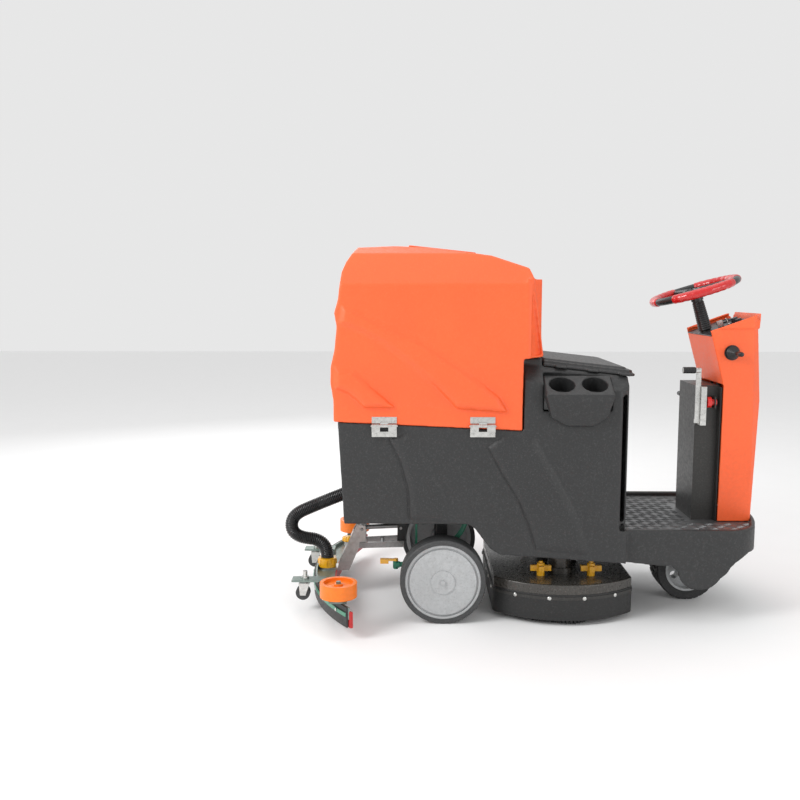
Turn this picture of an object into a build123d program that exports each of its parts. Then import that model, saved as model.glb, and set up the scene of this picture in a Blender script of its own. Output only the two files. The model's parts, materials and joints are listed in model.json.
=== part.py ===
"""Ride-on floor scrubber-drier, built as separate parts in millimetres.

+X is forward, +Y is the driver's left and Z = 0 is the floor. Each sub-part is modelled in
its place on the machine and written to its own STEP file.
"""
import os
from math import atan, atan2, cos, degrees, pi, radians, sin, tan

from build123d import *

os.makedirs("parts", exist_ok=True)

# ---------------------------------------------------------------- driving dimensions
RUN = 0.05            # radial clearance of a shaft that turns in a hole
GAP = 0.4             # face clearance between bodies that move past each other

BODY_HW = 338.0       # half width of the dark body
WALL = 8.0            # rotomoulded wall
SILL = 360.0          # underside of the body floor
SEAM_X = (-669.0, -41.0)      # the tank seam runs down between these two stations
SEAM_Z = (715.0, 687.0)
SEAT_X = (30.0, 324.0)        # seat opening, rear and front
SEAT_Z = (902.0, 868.0)       # body top under the seat lid

TANK_HW = 355.0       # half width of the recovery tank
TANK_TOP = 1313.0
TANK_WALL = 6.0
HINGE_Y, HINGE_Z = -352.5, 704.0
HINGE_X = (-510.0, -176.0)    # centres of the two tank hinges
HINGE_L = 85.0

SKIRT_HW = 317.0      # half width of the front platform
DECK_Z = 320.0        # top of the tread plate
RAIL_Y = 150.0        # frame rails, centre of each
RAIL = 40.0

REAR_X, REAR_R = -307.0, 150.0
REAR_Y = (245.0, 330.0)
FRONT_X, FRONT_R = 620.0, 113.0
FRONT_HW = 60.0
CHAIN_Z = 292.0
PITCH = 12.7          # roller chain
TEETH_BIG, TEETH_SMALL = 40, 10
SHAFT_X = FRONT_X + 108.0

WHEEL_C = (627.0, 0.0, 1159.0)     # centre of the steering wheel
WHEEL_R = 150.0       # rim centre line
RAKE = radians(17.0)
PANEL_SLOPE = radians(19.6)

BRUSH_X, BRUSH_Y, BRUSH_R = 122.0, 165.0, 160.0
DECK_R, DECK_HX = 345.0, 246.0     # deck plan: a disc cut flat front and rear
LINK_LOW, LINK_UP = 205.0, 245.0   # deck link pivots on the frame
LINK_X0, LINK_X1, LINK_DROP = 330.0, 180.0, 30.0

ARM_X0, ARM_X1 = -458.0, -606.0    # squeegee link pivots
ARM_LOW, ARM_UP, ARM_DROP = 207.0, 267.0, 7.0
CUFF_X = -741.0
HEAD_Z = 92.0         # squeegee plate underside
BLADE_Z = (44.5, 114.0)
CASTOR_X, CASTOR_Y, CASTOR_R = -803.0, 200.0, 26.0
ROLLER_X, ROLLER_Y, ROLLER_R = -663.0, 430.0, 63.0

STALK = (722.0, -150.0, 940.0)
HOSE_R = 25.0


# ---------------------------------------------------------------- helpers
def prism(plane, points, depth, mode=Mode.ADD):
    """Extrude a closed outline drawn on a plane."""
    with BuildSketch(plane) as outline:
        with BuildLine():
            Polyline(*points, close=True)
        make_face()
    extrude(outline.sketch, amount=depth, mode=mode)


def side(points, y0, y1, mode=Mode.ADD):
    """Prism on an (X, Z) outline from y0 up to y1."""
    prism(Plane.XZ.offset(-y1), points, y1 - y0, mode)


def plan(points, z0, z1, mode=Mode.ADD):
    """Prism on an (X, Y) outline from z0 up to z1."""
    prism(Plane.XY.offset(z0), points, z1 - z0, mode)


def section(points, x0, x1, mode=Mode.ADD):
    """Prism on a (Y, Z) outline from x0 up to x1."""
    prism(Plane.YZ.offset(x0), points, x1 - x0, mode)


def block(x0, x1, y0, y1, z0, z1, mode=Mode.ADD):
    """Box between two corners."""
    with Locations(((x0 + x1) / 2, (y0 + y1) / 2, (z0 + z1) / 2)):
        Box(x1 - x0, y1 - y0, z1 - z0, mode=mode)


def rod(p, q, r, mode=Mode.ADD):
    """Round bar from p to q."""
    start, end = Vector(*p), Vector(*q)
    with BuildSketch(Plane(start, z_dir=end - start)) as disc:
        Circle(r)
    extrude(disc.sketch, amount=(end - start).length, mode=mode)


def save(part, name):
    """Label a part and write its STEP file."""
    part.label = name
    export_step(part, f"parts/{name}.step")
    print(name, round(part.volume / 1000, 1), "cm3", len(part.solids()), "solid(s)")


def mirror_y(points):
    """Close a half section (positive Y) across the centre plane."""
    return points + [(-y, z) for y, z in reversed(points)]


def seam(x):
    """Height of the tank seam at station x."""
    t = (x - SEAM_X[0]) / (SEAM_X[1] - SEAM_X[0])
    return SEAM_Z[0] + t * (SEAM_Z[1] - SEAM_Z[0])


def seat_line(x):
    """Height of the body top under the seat lid at station x."""
    t = (x - SEAT_X[0]) / (SEAT_X[1] - SEAT_X[0])
    return SEAT_Z[0] + t * (SEAT_Z[1] - SEAT_Z[0])


def skirt_plan(inset, back, z0, z1, mode=Mode.ADD, front=None):
    """Prism on the platform's plan outline, drawn in by inset (front: at the nose)."""
    w = SKIRT_HW - inset
    f = inset if front is None else front
    with BuildSketch(Plane.XY.offset(z0)) as outline:
        with BuildLine():
            Line((back, -w), (690, -w))
            ThreePointArc((690, -w), (765 - f * 0.6, -w + 30), (803 - f, -w + 95))
            ThreePointArc((803 - f, -w + 95), (850 - f, 0), (803 - f, w - 95))
            ThreePointArc((803 - f, w - 95), (765 - f * 0.6, w - 30), (690, w))
            Line((690, w), (back, w))
            Line((back, w), (back, -w))
        make_face()
    extrude(outline.sketch, amount=z1 - z0, mode=mode)


def deck_plan(inset, z0, z1, mode=Mode.ADD):
    """Prism on the brush deck's plan outline: a disc cut flat front and rear."""
    with BuildSketch(Plane.XY.offset(z0)) as outline:
        with Locations((BRUSH_X, 0)):
            Circle(DECK_R - inset)
            Rectangle(2 * (DECK_HX - inset), 2 * DECK_R, mode=Mode.INTERSECT)
    extrude(outline.sketch, amount=z1 - z0, mode=mode)


def arc_band(xc, xe, ye, depth, z0, z1, mode=Mode.ADD):
    """Curved bar across the machine: xc on the centre line, xe at its ends, depth along X."""
    with BuildSketch(Plane.XY.offset(z0)) as outline:
        with BuildLine():
            ThreePointArc((xe, -ye), (xc, 0), (xe, ye))
            Line((xe, ye), (xe + depth, ye))
            ThreePointArc((xe + depth, ye), (xc + depth, 0), (xe + depth, -ye))
            Line((xe + depth, -ye), (xe, -ye))
        make_face()
    extrude(outline.sketch, amount=z1 - z0, mode=mode)


def on_axis(t):
    """Point on the steering axis, t below the wheel centre."""
    return (WHEEL_C[0] + t * sin(RAKE), 0.0, WHEEL_C[2] - t * cos(RAKE))


def on_panel(u, v, w):
    """Point on the instrument panel: u up the slope, v to the left, w above the face."""
    return (
        PANEL_O[0] + u * cos(PANEL_SLOPE) - w * sin(PANEL_SLOPE),
        v,
        PANEL_O[2] + u * sin(PANEL_SLOPE) + w * cos(PANEL_SLOPE),
    )


PANEL_O = (700.0, 0.0, 1020.0)
JOINT_Z = WHEEL_C[2] - (SHAFT_X - WHEEL_C[0]) / tan(RAKE)
STEER = Plane(origin=WHEEL_C, x_dir=(cos(RAKE), 0, sin(RAKE)), z_dir=(-sin(RAKE), 0, cos(RAKE)))

# ---------------------------------------------------------------- body shell
CUP_CUT = [(293, 881), (350, 881), (350, 751), (338, 751), (258, 800), (258, 808)]
SWOOSH = [
    [(-491, 654), (-453, 576), (-426, 476), (-421, 381), (-283, 370), (-306, 454), (-344, 543),
     (-388, 621), (-431, 672)],
    [(-154, 626), (-104, 532), (-49, 443), (-15, 365), (14, 275), (179, 258), (189, 269),
     (149, 387), (103, 477), (47, 576), (-3, 659), (-106, 661), (-130, 646)],
]
with BuildPart() as body_shell:
    side([(SEAM_X[0], SEAM_Z[0] - 0.6), (-650, SILL), (-225, SILL), (-199, 345), (-146, 274),
          (-112, 252), (324, 222), (324, seat_line(324)), (30, seat_line(30)), (30, 930),
          (-36, 930), (-36, seam(-36) - 0.6)], -BODY_HW, BODY_HW)
    slope = atan((SEAT_Z[0] - SEAT_Z[1]) / (SEAT_X[1] - SEAT_X[0]))
    for s in (1, -1):
        prism(Plane(origin=(-36, 0, seat_line(-36)), x_dir=(0, 1, 0),
                    z_dir=(cos(slope), 0, -sin(slope))),
              [(s * 281, 0), (s * 281, 90), (s * 400, 90), (s * 400, -111), (s * 338, -53)],
              420, Mode.SUBTRACT)
        plan([(325, s * 339), (292, s * 339), (325, s * 312)], 336, 860, Mode.SUBTRACT)
    for points in SWOOSH:
        side(points, -BODY_HW - 4, -BODY_HW)
        side(points, BODY_HW, BODY_HW + 4)
    skirt_plan(0, 300, 100, 335)
    side([(300, 99), (300, 223.6), (331, 221), (424, 211), (462, 208), (486, 210), (510, 187),
          (519, 158), (534, 140), (556, 125), (590, 122), (623, 129), (645, 145), (660, 165),
          (681, 182), (692, 202), (711, 220), (759, 249), (860, 252), (860, 99)],
         -400, 400, Mode.SUBTRACT)
    # battery bay, seat opening and the hollow behind the seat
    section(mirror_y([(BODY_HW - WALL, SILL + 8), (BODY_HW - WALL, 800), (274, 852)]),
            -27, SEAT_X[1] - WALL, Mode.SUBTRACT)
    block(40, SEAT_X[1] - WALL, -270, 270, 840, 960, Mode.SUBTRACT)
    block(-28, 22, -266, 266, 840, 922, Mode.SUBTRACT)
    # solution tank with its filler under the recovery tank
    side([(-655, SILL + 8), (-45, SILL + 8), (-45, 678), (-655, 705)],
         -BODY_HW + WALL, BODY_HW - WALL, Mode.SUBTRACT)
    rod((-400, 0, 660), (-400, 0, 730), 60, Mode.SUBTRACT)
    # open underside
    block(-230, 316, -BODY_HW + WALL, BODY_HW - WALL, 200, SILL, Mode.SUBTRACT)
    skirt_plan(WALL, 290, 90, 307, Mode.SUBTRACT)
    skirt_plan(48, 324, 300, 340, Mode.SUBTRACT, front=34)
    skirt_plan(27, 324, DECK_Z - 5, 340, Mode.SUBTRACT, front=10)
    for s in (1, -1):
        section([(s * y, z) for y, z in CUP_CUT], 30, 261, Mode.SUBTRACT)
    rod((-706, 0, 378.5), (-616, 0, 414.3), 25.4, Mode.SUBTRACT)
save(body_shell.part, "body_shell")

# ---------------------------------------------------------------- frame
with BuildPart() as chassis_frame:
    for s in (1, -1):
        y0, y1 = s * RAIL_Y - RAIL / 2, s * RAIL_Y + RAIL / 2
        block(-640, 315, y0, y1, SILL - RAIL, SILL)
        block(275, 770, y0, y1, 267, 307)
        block(-327, -287, y0 + 12, y1 - 12, 140, SILL - RAIL)
        rod((REAR_X, s * 60, REAR_R), (REAR_X, s * 236, REAR_R), 20)
        rod((REAR_X, s * 236, REAR_R), (REAR_X, s * 318, REAR_R), 15)
    rod((REAR_X, -80, REAR_R), (REAR_X, 80, REAR_R), 20)
    for x in (-640, -470, -60):
        block(x, x + 40, -RAIL_Y, RAIL_Y, SILL - RAIL, SILL)
    block(275, 315, -RAIL_Y - 20, RAIL_Y + 20, 267, 322)
    for s in (1, -1):
        block(400, 440, min(s * 150, s * 308), max(s * 150, s * 308), 285, 307)
        block(560, 600, min(s * 150, s * 308), max(s * 150, s * 308), 285, 307)
    block(760, 785, -210, 210, 285, 307)
    block(440, 480, -RAIL_Y, RAIL_Y, 285, 307)
    # steering head under the platform
    block(584, 656, -RAIL_Y, RAIL_Y, 262, 276)
    rod((FRONT_X, 0, 252), (FRONT_X, 0, 286), 32)
    rod((FRONT_X, 0, 240), (FRONT_X, 0, 300), 15 + RUN, Mode.SUBTRACT)
    # brush deck hanger
    for s in (1, -1):
        side([(300, 280), (300, 267), (318, 192), (342, 192), (350, 260), (350, 280)],
             s * 53 - 3, s * 53 + 3)
        for z in (LINK_LOW, LINK_UP):
            rod((LINK_X0, s * 53 - 5, z), (LINK_X0, s * 53 + 5, z), 6 + RUN, Mode.SUBTRACT)
        # squeegee hanger
        side([(-470, 322), (-472, 194), (-446, 194), (-432, 322)], s * 35 - 3, s * 35 + 3)
        rod((ARM_X0, s * 35 - 5, ARM_LOW), (ARM_X0, s * 35 + 5, ARM_LOW), 6 + RUN,
            Mode.SUBTRACT)
        rod((ARM_X0, s * 35 - 5, ARM_UP), (ARM_X0, s * 35 + 5, ARM_UP), 5 + RUN, Mode.SUBTRACT)
save(chassis_frame.part, "chassis_frame")

with BuildPart() as deck_plate:
    skirt_plan(27.6, 324.5, DECK_Z - 5, DECK_Z, front=10.6)
    rod((SHAFT_X, 0, 300), (SHAFT_X, 0, 340), 14, Mode.SUBTRACT)
save(deck_plate.part, "deck_plate")

with BuildPart() as batteries:
    for ix in range(2):
        for iy in range(2):
            x0, y0 = -20 + ix * 168, -265 + iy * 267
            block(x0, x0 + 165, y0, y0 + 262, SILL + 8, SILL + 258)
            for v in (50, 212):
                rod((x0 + 82, y0 + v, SILL + 256), (x0 + 82, y0 + v, SILL + 274), 9)
save(batteries.part, "batteries")

# ---------------------------------------------------------------- steering column
with BuildPart() as column_frame:
    block(614, 699, -100, 100, DECK_Z, 818)
    block(619, 700, -95, 95, DECK_Z + 5, 813, Mode.SUBTRACT)
    section(mirror_y([(121.6, DECK_Z), (132.0, 814)]), 694, 699)
    block(693, 700, -80, 80, DECK_Z + 5, 800, Mode.SUBTRACT)
    block(636, 656, 90, 102, 650, 796, Mode.SUBTRACT)
    for s in (1, -1):
        side([(694, 801), (694, 811), (712, 811), (712, 822), (690, 905), (690, 930),
              (735, 935), (735, 850), (716, 801)], s * 42 - 4, s * 42 + 4)
    prism(Plane(origin=on_axis(242), x_dir=(cos(RAKE), 0, sin(RAKE)),
                z_dir=(sin(RAKE), 0, -cos(RAKE))),
          [(-18, -46), (36, -46), (36, 46), (-18, 46)], 8)
    rod(on_axis(40), on_axis(262), 19)
    rod(on_axis(30), on_axis(275), 12 + RUN, Mode.SUBTRACT)
    # tab that carries the stop switch
    block(672, 676, -140, -99, 738, 780)
    rod((670, -121, 759), (680, -121, 759), 12 + RUN, Mode.SUBTRACT)
save(column_frame.part, "column_frame")

COVER = [(645, 1017), (822, 1080), (818, 1023), (843, 764), (819, 321), (699, 321), (699, 818)]
with BuildPart() as cover_void:
    side([(651, 1010), (816, 1072), (812, 1022), (837, 764), (813, 300), (690, 300), (690, 812),
          (706, 830)], -160, 160)
    section(mirror_y([(126.5, 290), (144.5, 1060), (144.5, 1120)]), 570, 860, Mode.INTERSECT)
    for s in (1, -1):
        plan([(794, s * 151), (860, s * 151), (860, s * 84), (840, s * 104)], 280, 1130,
             Mode.SUBTRACT)
with BuildPart() as column_cover:
    side(COVER, -175, 175)
    section(mirror_y([(132, 300), (150, 1060), (150, 1100)]), 570, 860, Mode.INTERSECT)
    for s in (1, -1):
        plan([(797, s * 151), (860, s * 151), (860, s * 90), (845, s * 107)], 300, 1100,
             Mode.SUBTRACT)
    add(cover_void.part, mode=Mode.SUBTRACT)
    side([(560, 965.9), (812, 1055.6), (830, 1120), (560, 1120)], -139, 139, Mode.SUBTRACT)
    block(658, 700, -50, 50, 815, 826, Mode.SUBTRACT)
    with BuildSketch(Plane(origin=(824, 0, 929), x_dir=(0, 1, 0), z_dir=(1, 0, 0.096))) as boss:
        Ellipse(93, 47)
    extrude(boss.sketch, amount=5.5)
save(column_cover.part, "column_cover")

with BuildPart() as instrument_panel:
    face = Plane(origin=on_panel(0, 0, -4), x_dir=(cos(PANEL_SLOPE), 0, sin(PANEL_SLOPE)),
                 z_dir=(-sin(PANEL_SLOPE), 0, cos(PANEL_SLOPE)))
    prism(face, [(-56, -138), (80, -138), (110, -100), (110, 100), (80, 138), (-56, 138)], 4)
    rod(on_axis(90), on_axis(230), 19.3, Mode.SUBTRACT)
    rod(on_panel(62, 62, -30), on_panel(62, 62, 5), 27)
    rod(on_panel(62, 62, 3), on_panel(62, 62, 6), 23, Mode.SUBTRACT)
    rod(on_panel(8, -72, -25), on_panel(8, -72, 8), 11)
    rod(on_panel(8, -72, -10), on_panel(8, -72, 9), 3.2 + RUN, Mode.SUBTRACT)
    rod(on_panel(42, -58, -25), on_panel(42, -58, 6), 9)
    rod(on_panel(42, -58, -8), on_panel(42, -58, 7), 6.5, Mode.SUBTRACT)
    rod(on_panel(75, -25, 0), on_panel(75, -25, 16), 13)
    rod(on_panel(75, -70, 0), on_panel(75, -70, 14), 11)
save(instrument_panel.part, "instrument_panel")

with BuildPart() as lever_bracket:
    block(624, 644, -134, -100, 676, 816)
    block(623, 640.6, -127, -107, 675, 817, Mode.SUBTRACT)
    rod((631, -134, 690), (631, -100, 690), 5)
save(lever_bracket.part, "lever_bracket")

with BuildPart() as stalk_base:
    rod((STALK[0], -148.0, STALK[2]), (STALK[0], -152, STALK[2]), 27)
    rod((STALK[0], -147, STALK[2]), (STALK[0], -153, STALK[2]), 5.8, Mode.SUBTRACT)
save(stalk_base.part, "stalk_base")

# ---------------------------------------------------------------- cup holders
CUP = [(296, 872), (394, 815), (388, 790), (352, 705), (338.6, 700), (338.6, 756.5), (262, 802)]
TILT = radians(30.0)
with BuildPart() as cup_holders:
    for s in (1, -1):
        section([(s * y, z) for y, z in CUP], 31, 260)
        for x0, x1, x2 in ((30, 31, 118), (261, 260, 192)):
            side([(x0, 880), (x1, 812), (x1 + (x2 - x1) * 0.25, 735), (x2, 699), (x0, 690)],
                 min(s * 338, s * 400), max(s * 338, s * 400), Mode.SUBTRACT)
        for x in (90, 201):
            top = (x, s * (341 + 20 * sin(TILT)), 846 + 20 * cos(TILT))
            low = (x, s * (341 - 62 * sin(TILT)), 846 - 62 * cos(TILT))
            rod(low, top, 43, Mode.SUBTRACT)
save(cup_holders.part, "cup_holders")

# ---------------------------------------------------------------- hinges
with BuildPart() as fixed_hinge_leaves:
    for x in HINGE_X:
        h = HINGE_L / 2
        block(x - h, x + h, -350, -BODY_HW, 666, 684)
        for x0, x1 in ((x - h, x - h / 3), (x + h / 3, x + h)):
            block(x0, x1, HINGE_Y - 6, HINGE_Y + 6, 684, HINGE_Z)
            rod((x0, HINGE_Y, HINGE_Z), (x1, HINGE_Y, HINGE_Z), 6)
            rod((x0 - 1, HINGE_Y, HINGE_Z), (x1 + 1, HINGE_Y, HINGE_Z), 3, Mode.SUBTRACT)
        rod((x - h - 3, HINGE_Y, HINGE_Z), (x + h + 3, HINGE_Y, HINGE_Z), 3)
        for dx in (-28, 0, 28):
            rod((x + dx, -353, 673), (x + dx, -345, 673), 4.5)
save(fixed_hinge_leaves.part, "fixed_hinge_leaves")

with BuildPart() as tank_hinge_leaves:
    for x in HINGE_X:
        h = HINGE_L / 2
        m = h / 3 - GAP
        block(x - h, x + h, -346, -343, 712, 734)
        block(x - m, x + m, HINGE_Y, -343, HINGE_Z, 716)
        rod((x - m, HINGE_Y, HINGE_Z), (x + m, HINGE_Y, HINGE_Z), 6)
        rod((x - m - 1, HINGE_Y, HINGE_Z), (x + m + 1, HINGE_Y, HINGE_Z), 3 + RUN,
            Mode.SUBTRACT)
        for dx in (-28, 28):
            rod((x + dx, -349, 724), (x + dx, -345, 724), 4.5)
save(tank_hinge_leaves.part, "tank_hinge_leaves")

# ---------------------------------------------------------------- recovery tank
TANK = [(-683, 715.6), (-683, 790), (-692, 850), (-690, 905), (-677, 960), (-669, 1040),
        (-677, 1085), (-664, 1130), (-653, 1221), (-639, 1255), (-605, 1307), (-474, TANK_TOP),
        (-354, 1306), (-147, 1277), (-23, 1235), (-12, 1211), (30, 937), (-28, 932), (-41, 932),
        (-41, 687)]
TANK_IN = [(-677, 722), (-677, 790), (-686, 850), (-684, 904), (-671, 960), (-663, 1040),
           (-671, 1085), (-658, 1130), (-647, 1220), (-634, 1252), (-602, 1301), (-474, 1307),
           (-355, 1300), (-149, 1271), (-28, 1230), (-18, 1209), (23, 943), (-28, 939),
           (-47, 938), (-47, 694)]
TANK_SEC = [(343, 680), (343, 760), (TANK_HW, 900), (TANK_HW, 1180), (285, 1285), (150, 1330)]
TANK_SEC_IN = [(337, 686), (337, 760), (349, 900), (349, 1177), (281, 1279), (150, 1324)]
TANK_BAND = [
    [(-660, 1049), (-592, 1025), (-528, 993), (-455, 941), (-396, 892), (-336, 842),
     (-262, 765), (-94, 752), (-124, 802), (-174, 842), (-248, 896), (-327, 951), (-396, 995),
     (-518, 1049), (-611, 1096), (-650, 1110)],
    [(-676, 833), (-633, 818), (-603, 795), (-579, 768), (-475, 768), (-495, 783), (-529, 813),
     (-568, 847), (-613, 887), (-676, 905)],
]
with BuildPart() as tank_void:
    side(TANK_IN, -TANK_HW, TANK_HW)
    section(mirror_y(TANK_SEC_IN), -720, 60, Mode.INTERSECT)
HATCH = Plane(origin=(-310, 0, 1296), x_dir=(cos(0.108), 0, -sin(0.108)),
              z_dir=(sin(0.108), 0, cos(0.108)))
with BuildPart() as recovery_tank:
    side(TANK, -TANK_HW, TANK_HW)
    section(mirror_y(TANK_SEC), -720, 60, Mode.INTERSECT)
    for s in (1, -1):
        plan([(-23, s * 356), (60, s * 356), (60, s * 297)], 680, 1330, Mode.SUBTRACT)
        for points in TANK_BAND:
            side(points, min(s * 338, s * 358), max(s * 338, s * 358))
    add(tank_void.part, mode=Mode.SUBTRACT)
    prism(HATCH.offset(3), [(-123, -123), (123, -123), (123, 123), (-123, 123)], 30,
          Mode.SUBTRACT)
    prism(HATCH.offset(-30), [(-110, -100), (110, -100), (110, 100), (-110, 100)], 60,
          Mode.SUBTRACT)
    for s in (1, -1):
        plan([(-29, s * 356), (24, s * 303), (24, s * 296), (-36, s * 356)], 940, 1200)
        plan([(-23, s * 356), (60, s * 356), (60, s * 297)], 680, 1330, Mode.SUBTRACT)
save(recovery_tank.part, "recovery_tank")

with BuildPart() as tank_handle:
    for z in (1020, 1101):
        rod((-257, 355, z), (-257, 392, z), 7)
        rod((-257, 355, z), (-257, 358, z), 15)
    rod((-257, 392, 1009), (-257, 392, 1112), 9)
save(tank_handle.part, "tank_handle")

with BuildPart() as tank_hatch:
    top = HATCH.offset(3.4)
    prism(top, [(-120, -112), (-112, -120), (112, -120), (120, -112), (120, 112), (112, 120),
                (-112, 120), (-120, 112)], 11)
    prism(HATCH.offset(-9), [(-106, -96), (106, -96), (106, 96), (-106, 96)], 13)
    prism(HATCH.offset(-10), [(-100, -90), (100, -90), (100, 90), (-100, 90)], 17,
          Mode.SUBTRACT)
save(tank_hatch.part, "tank_hatch")

# ---------------------------------------------------------------- seat lid
lid_slope = atan((SEAT_Z[0] - SEAT_Z[1]) / (SEAT_X[1] - SEAT_X[0]))
LID = Plane(origin=(34, 0, seat_line(34) + 0.6),
            x_dir=(cos(lid_slope), 0, -sin(lid_slope)), z_dir=(sin(lid_slope), 0, cos(lid_slope)))
LID_HY, LID_HW_ = -289.0, 5.0


def on_lid(u, v, w):
    """Point on the seat lid: u forward, v to the left, w above its underside."""
    return tuple(LID.from_local_coords(Vector(u, v, w)))


with BuildPart() as seat_lid:
    prism(LID, [(0, -281), (306, -281), (320, -262), (320, 262), (306, 281), (0, 281)], 10)
    prism(LID.offset(10), [(0, -272), (296, -272), (312, -252), (312, 252), (296, 272),
                           (0, 272)], 10)
    prism(LID.offset(20), [(4, -252), (278, -252), (292, -236), (292, 236), (278, 252),
                           (4, 252)], 7)
    prism(LID.offset(-1), [(14, -262), (296, -262), (296, 262), (14, 262)], 9, Mode.SUBTRACT)
    for u in (40, 150, 260):
        prism(LID.offset(2), [(u + GAP, LID_HY), (u + 40 - GAP, LID_HY), (u + 40 - GAP, -281),
                              (u + GAP, -281)], 4)
        rod(on_lid(u + GAP, LID_HY, 4), on_lid(u + 40 - GAP, LID_HY, 4), LID_HW_)
        rod(on_lid(u, LID_HY, 4), on_lid(u + 40, LID_HY, 4), 2.5 + RUN, Mode.SUBTRACT)
save(seat_lid.part, "seat_lid")

# ---------------------------------------------------------------- steering
with BuildPart() as wheel_rim:
    for k in range(3):
        a = radians(-75 + 120 * k)
        radial = STEER.from_local_coords(Vector(cos(a), sin(a), 0)) - Vector(*WHEEL_C)
        with BuildSketch(Plane(origin=WHEEL_C, x_dir=radial,
                               z_dir=radial.cross(Vector(-sin(RAKE), 0, cos(RAKE))))) as rim:
            with Locations((WHEEL_R, 0)):
                Circle(13.6)
        revolve(rim.sketch, axis=Axis(WHEEL_C, (-sin(RAKE), 0, cos(RAKE))),
                revolution_arc=120)
    for k in range(3):
        a = radians(-15 + 120 * k)
        p = STEER.from_local_coords(Vector(20 * cos(a), 20 * sin(a), 0))
        q = STEER.from_local_coords(Vector(146 * cos(a), 146 * sin(a), 0))
        rod(tuple(p), tuple(q), 9)
    rod(on_axis(18), on_axis(-6), 44)
    rod(on_axis(38), on_axis(16), 22)
    rod(on_axis(300), on_axis(10), 12)
    rod(on_axis(345), on_axis(298), 17)
    with Locations(Location((SHAFT_X, 0, JOINT_Z))):
        Sphere(11.6, mode=Mode.SUBTRACT)
    for k in range(6):
        a = radians(60 * k)
        c = STEER.from_local_coords(Vector(30 * cos(a), 30 * sin(a), 5))
        d = STEER.from_local_coords(Vector(30 * cos(a), 30 * sin(a), 9))
        rod(tuple(c), tuple(d), 4)
save(wheel_rim.part, "wheel_rim")

with BuildPart() as wheel_grips:
    for k in range(3):
        a = radians(-75 + 120 * k - 41)
        radial = STEER.from_local_coords(Vector(cos(a), sin(a), 0)) - Vector(*WHEEL_C)
        with BuildSketch(Plane(origin=WHEEL_C, x_dir=radial,
                               z_dir=radial.cross(Vector(-sin(RAKE), 0, cos(RAKE))))) as sleeve:
            with Locations((WHEEL_R, 0)):
                Circle(15.8)
                Circle(13.6, mode=Mode.SUBTRACT)
        revolve(sleeve.sketch, axis=Axis(WHEEL_C, (-sin(RAKE), 0, cos(RAKE))),
                revolution_arc=82)
save(wheel_grips.part, "wheel_grips")

R_BIG = PITCH / (2 * sin(pi / TEETH_BIG))
R_SMALL = PITCH / (2 * sin(pi / TEETH_SMALL))
with BuildPart() as lower_shaft:
    rod((SHAFT_X, 0, CHAIN_Z + 4), (SHAFT_X, 0, JOINT_Z), 8)
    with Locations((SHAFT_X, 0, JOINT_Z)):
        Sphere(11)
    with BuildSketch(Plane.XY.offset(CHAIN_Z)) as small:
        with Locations((SHAFT_X, 0)):
            Circle(R_SMALL + 3)
            with PolarLocations(R_SMALL, TEETH_SMALL):
                Circle(4.1, mode=Mode.SUBTRACT)
    extrude(small.sketch, amount=6)
    rod((SHAFT_X, 0, CHAIN_Z + 5), (SHAFT_X, 0, CHAIN_Z + 16), 12)
save(lower_shaft.part, "lower_shaft")

with BuildPart() as steering_chain:
    for z in (CHAIN_Z - 2.4, CHAIN_Z + 6.8):
        with BuildSketch(Plane.XY.offset(z)) as loop:
            with BuildLine():
                lean = (R_BIG - R_SMALL) / (SHAFT_X - FRONT_X)
                c, d = lean, (1 - lean * lean) ** 0.5
                pa = (FRONT_X + R_BIG * c, R_BIG * d)
                pb = (SHAFT_X + R_SMALL * c, R_SMALL * d)
                Line(pa, pb)
                ThreePointArc(pb, (SHAFT_X + R_SMALL, 0), (pb[0], -pb[1]))
                Line((pb[0], -pb[1]), (pa[0], -pa[1]))
                ThreePointArc((pa[0], -pa[1]), (FRONT_X - R_BIG, 0), pa)
            make_face()
        with BuildSketch(Plane.XY.offset(z)) as band:
            add(loop.sketch)
            offset(amount=5)
            with BuildSketch(Plane.XY.offset(z), mode=Mode.SUBTRACT):
                add(loop.sketch)
                offset(amount=-4.5)
        extrude(band.sketch, amount=1.6)
    for s in (1, -1):
        for k in (0.42, 0.5, 0.58):
            x = pa[0] + k * (pb[0] - pa[0])
            y = s * (pa[1] + k * (pb[1] - pa[1]))
            rod((x, y, CHAIN_Z - 2.4), (x, y, CHAIN_Z + 8), 3.9)
save(steering_chain.part, "steering_chain")

with BuildPart() as drive_fork:
    rod((FRONT_X, 0, 244), (FRONT_X, 0, 311), 15)
    block(548, 692, -78, 78, 233, 246)
    rod((FRONT_X, 0, 244), (FRONT_X, 0, 251), 30)
    for s in (1, -1):
        side([(560, 240), (585, 96), (655, 96), (680, 240)], s * 71.5 - 5.5, s * 71.5 + 5.5)
    rod((FRONT_X, -77, FRONT_R), (FRONT_X, 77, FRONT_R), 10)
    with BuildSketch(Plane.XY.offset(CHAIN_Z)) as big:
        with Locations((FRONT_X, 0)):
            Circle(R_BIG + 3)
            with PolarLocations(R_BIG, TEETH_BIG):
                Circle(4.1, mode=Mode.SUBTRACT)
    extrude(big.sketch, amount=6)
    rod((FRONT_X, 0, 287), (FRONT_X, 0, 302), 26)
save(drive_fork.part, "drive_fork")

with BuildPart() as drive_motor:
    side([(582, 100), (658, 100), (668, 180), (650, 226), (590, 226), (572, 180)], -94, -77)
    rod((FRONT_X, -92, 180), (FRONT_X, -192, 180), 38)
    for k in range(7):
        y = -104 - 12 * k
        rod((FRONT_X, y, 180), (FRONT_X, y - 5, 180), 43)
    block(600, 640, -186, -170, 215, 230)
save(drive_motor.part, "drive_motor")

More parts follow.
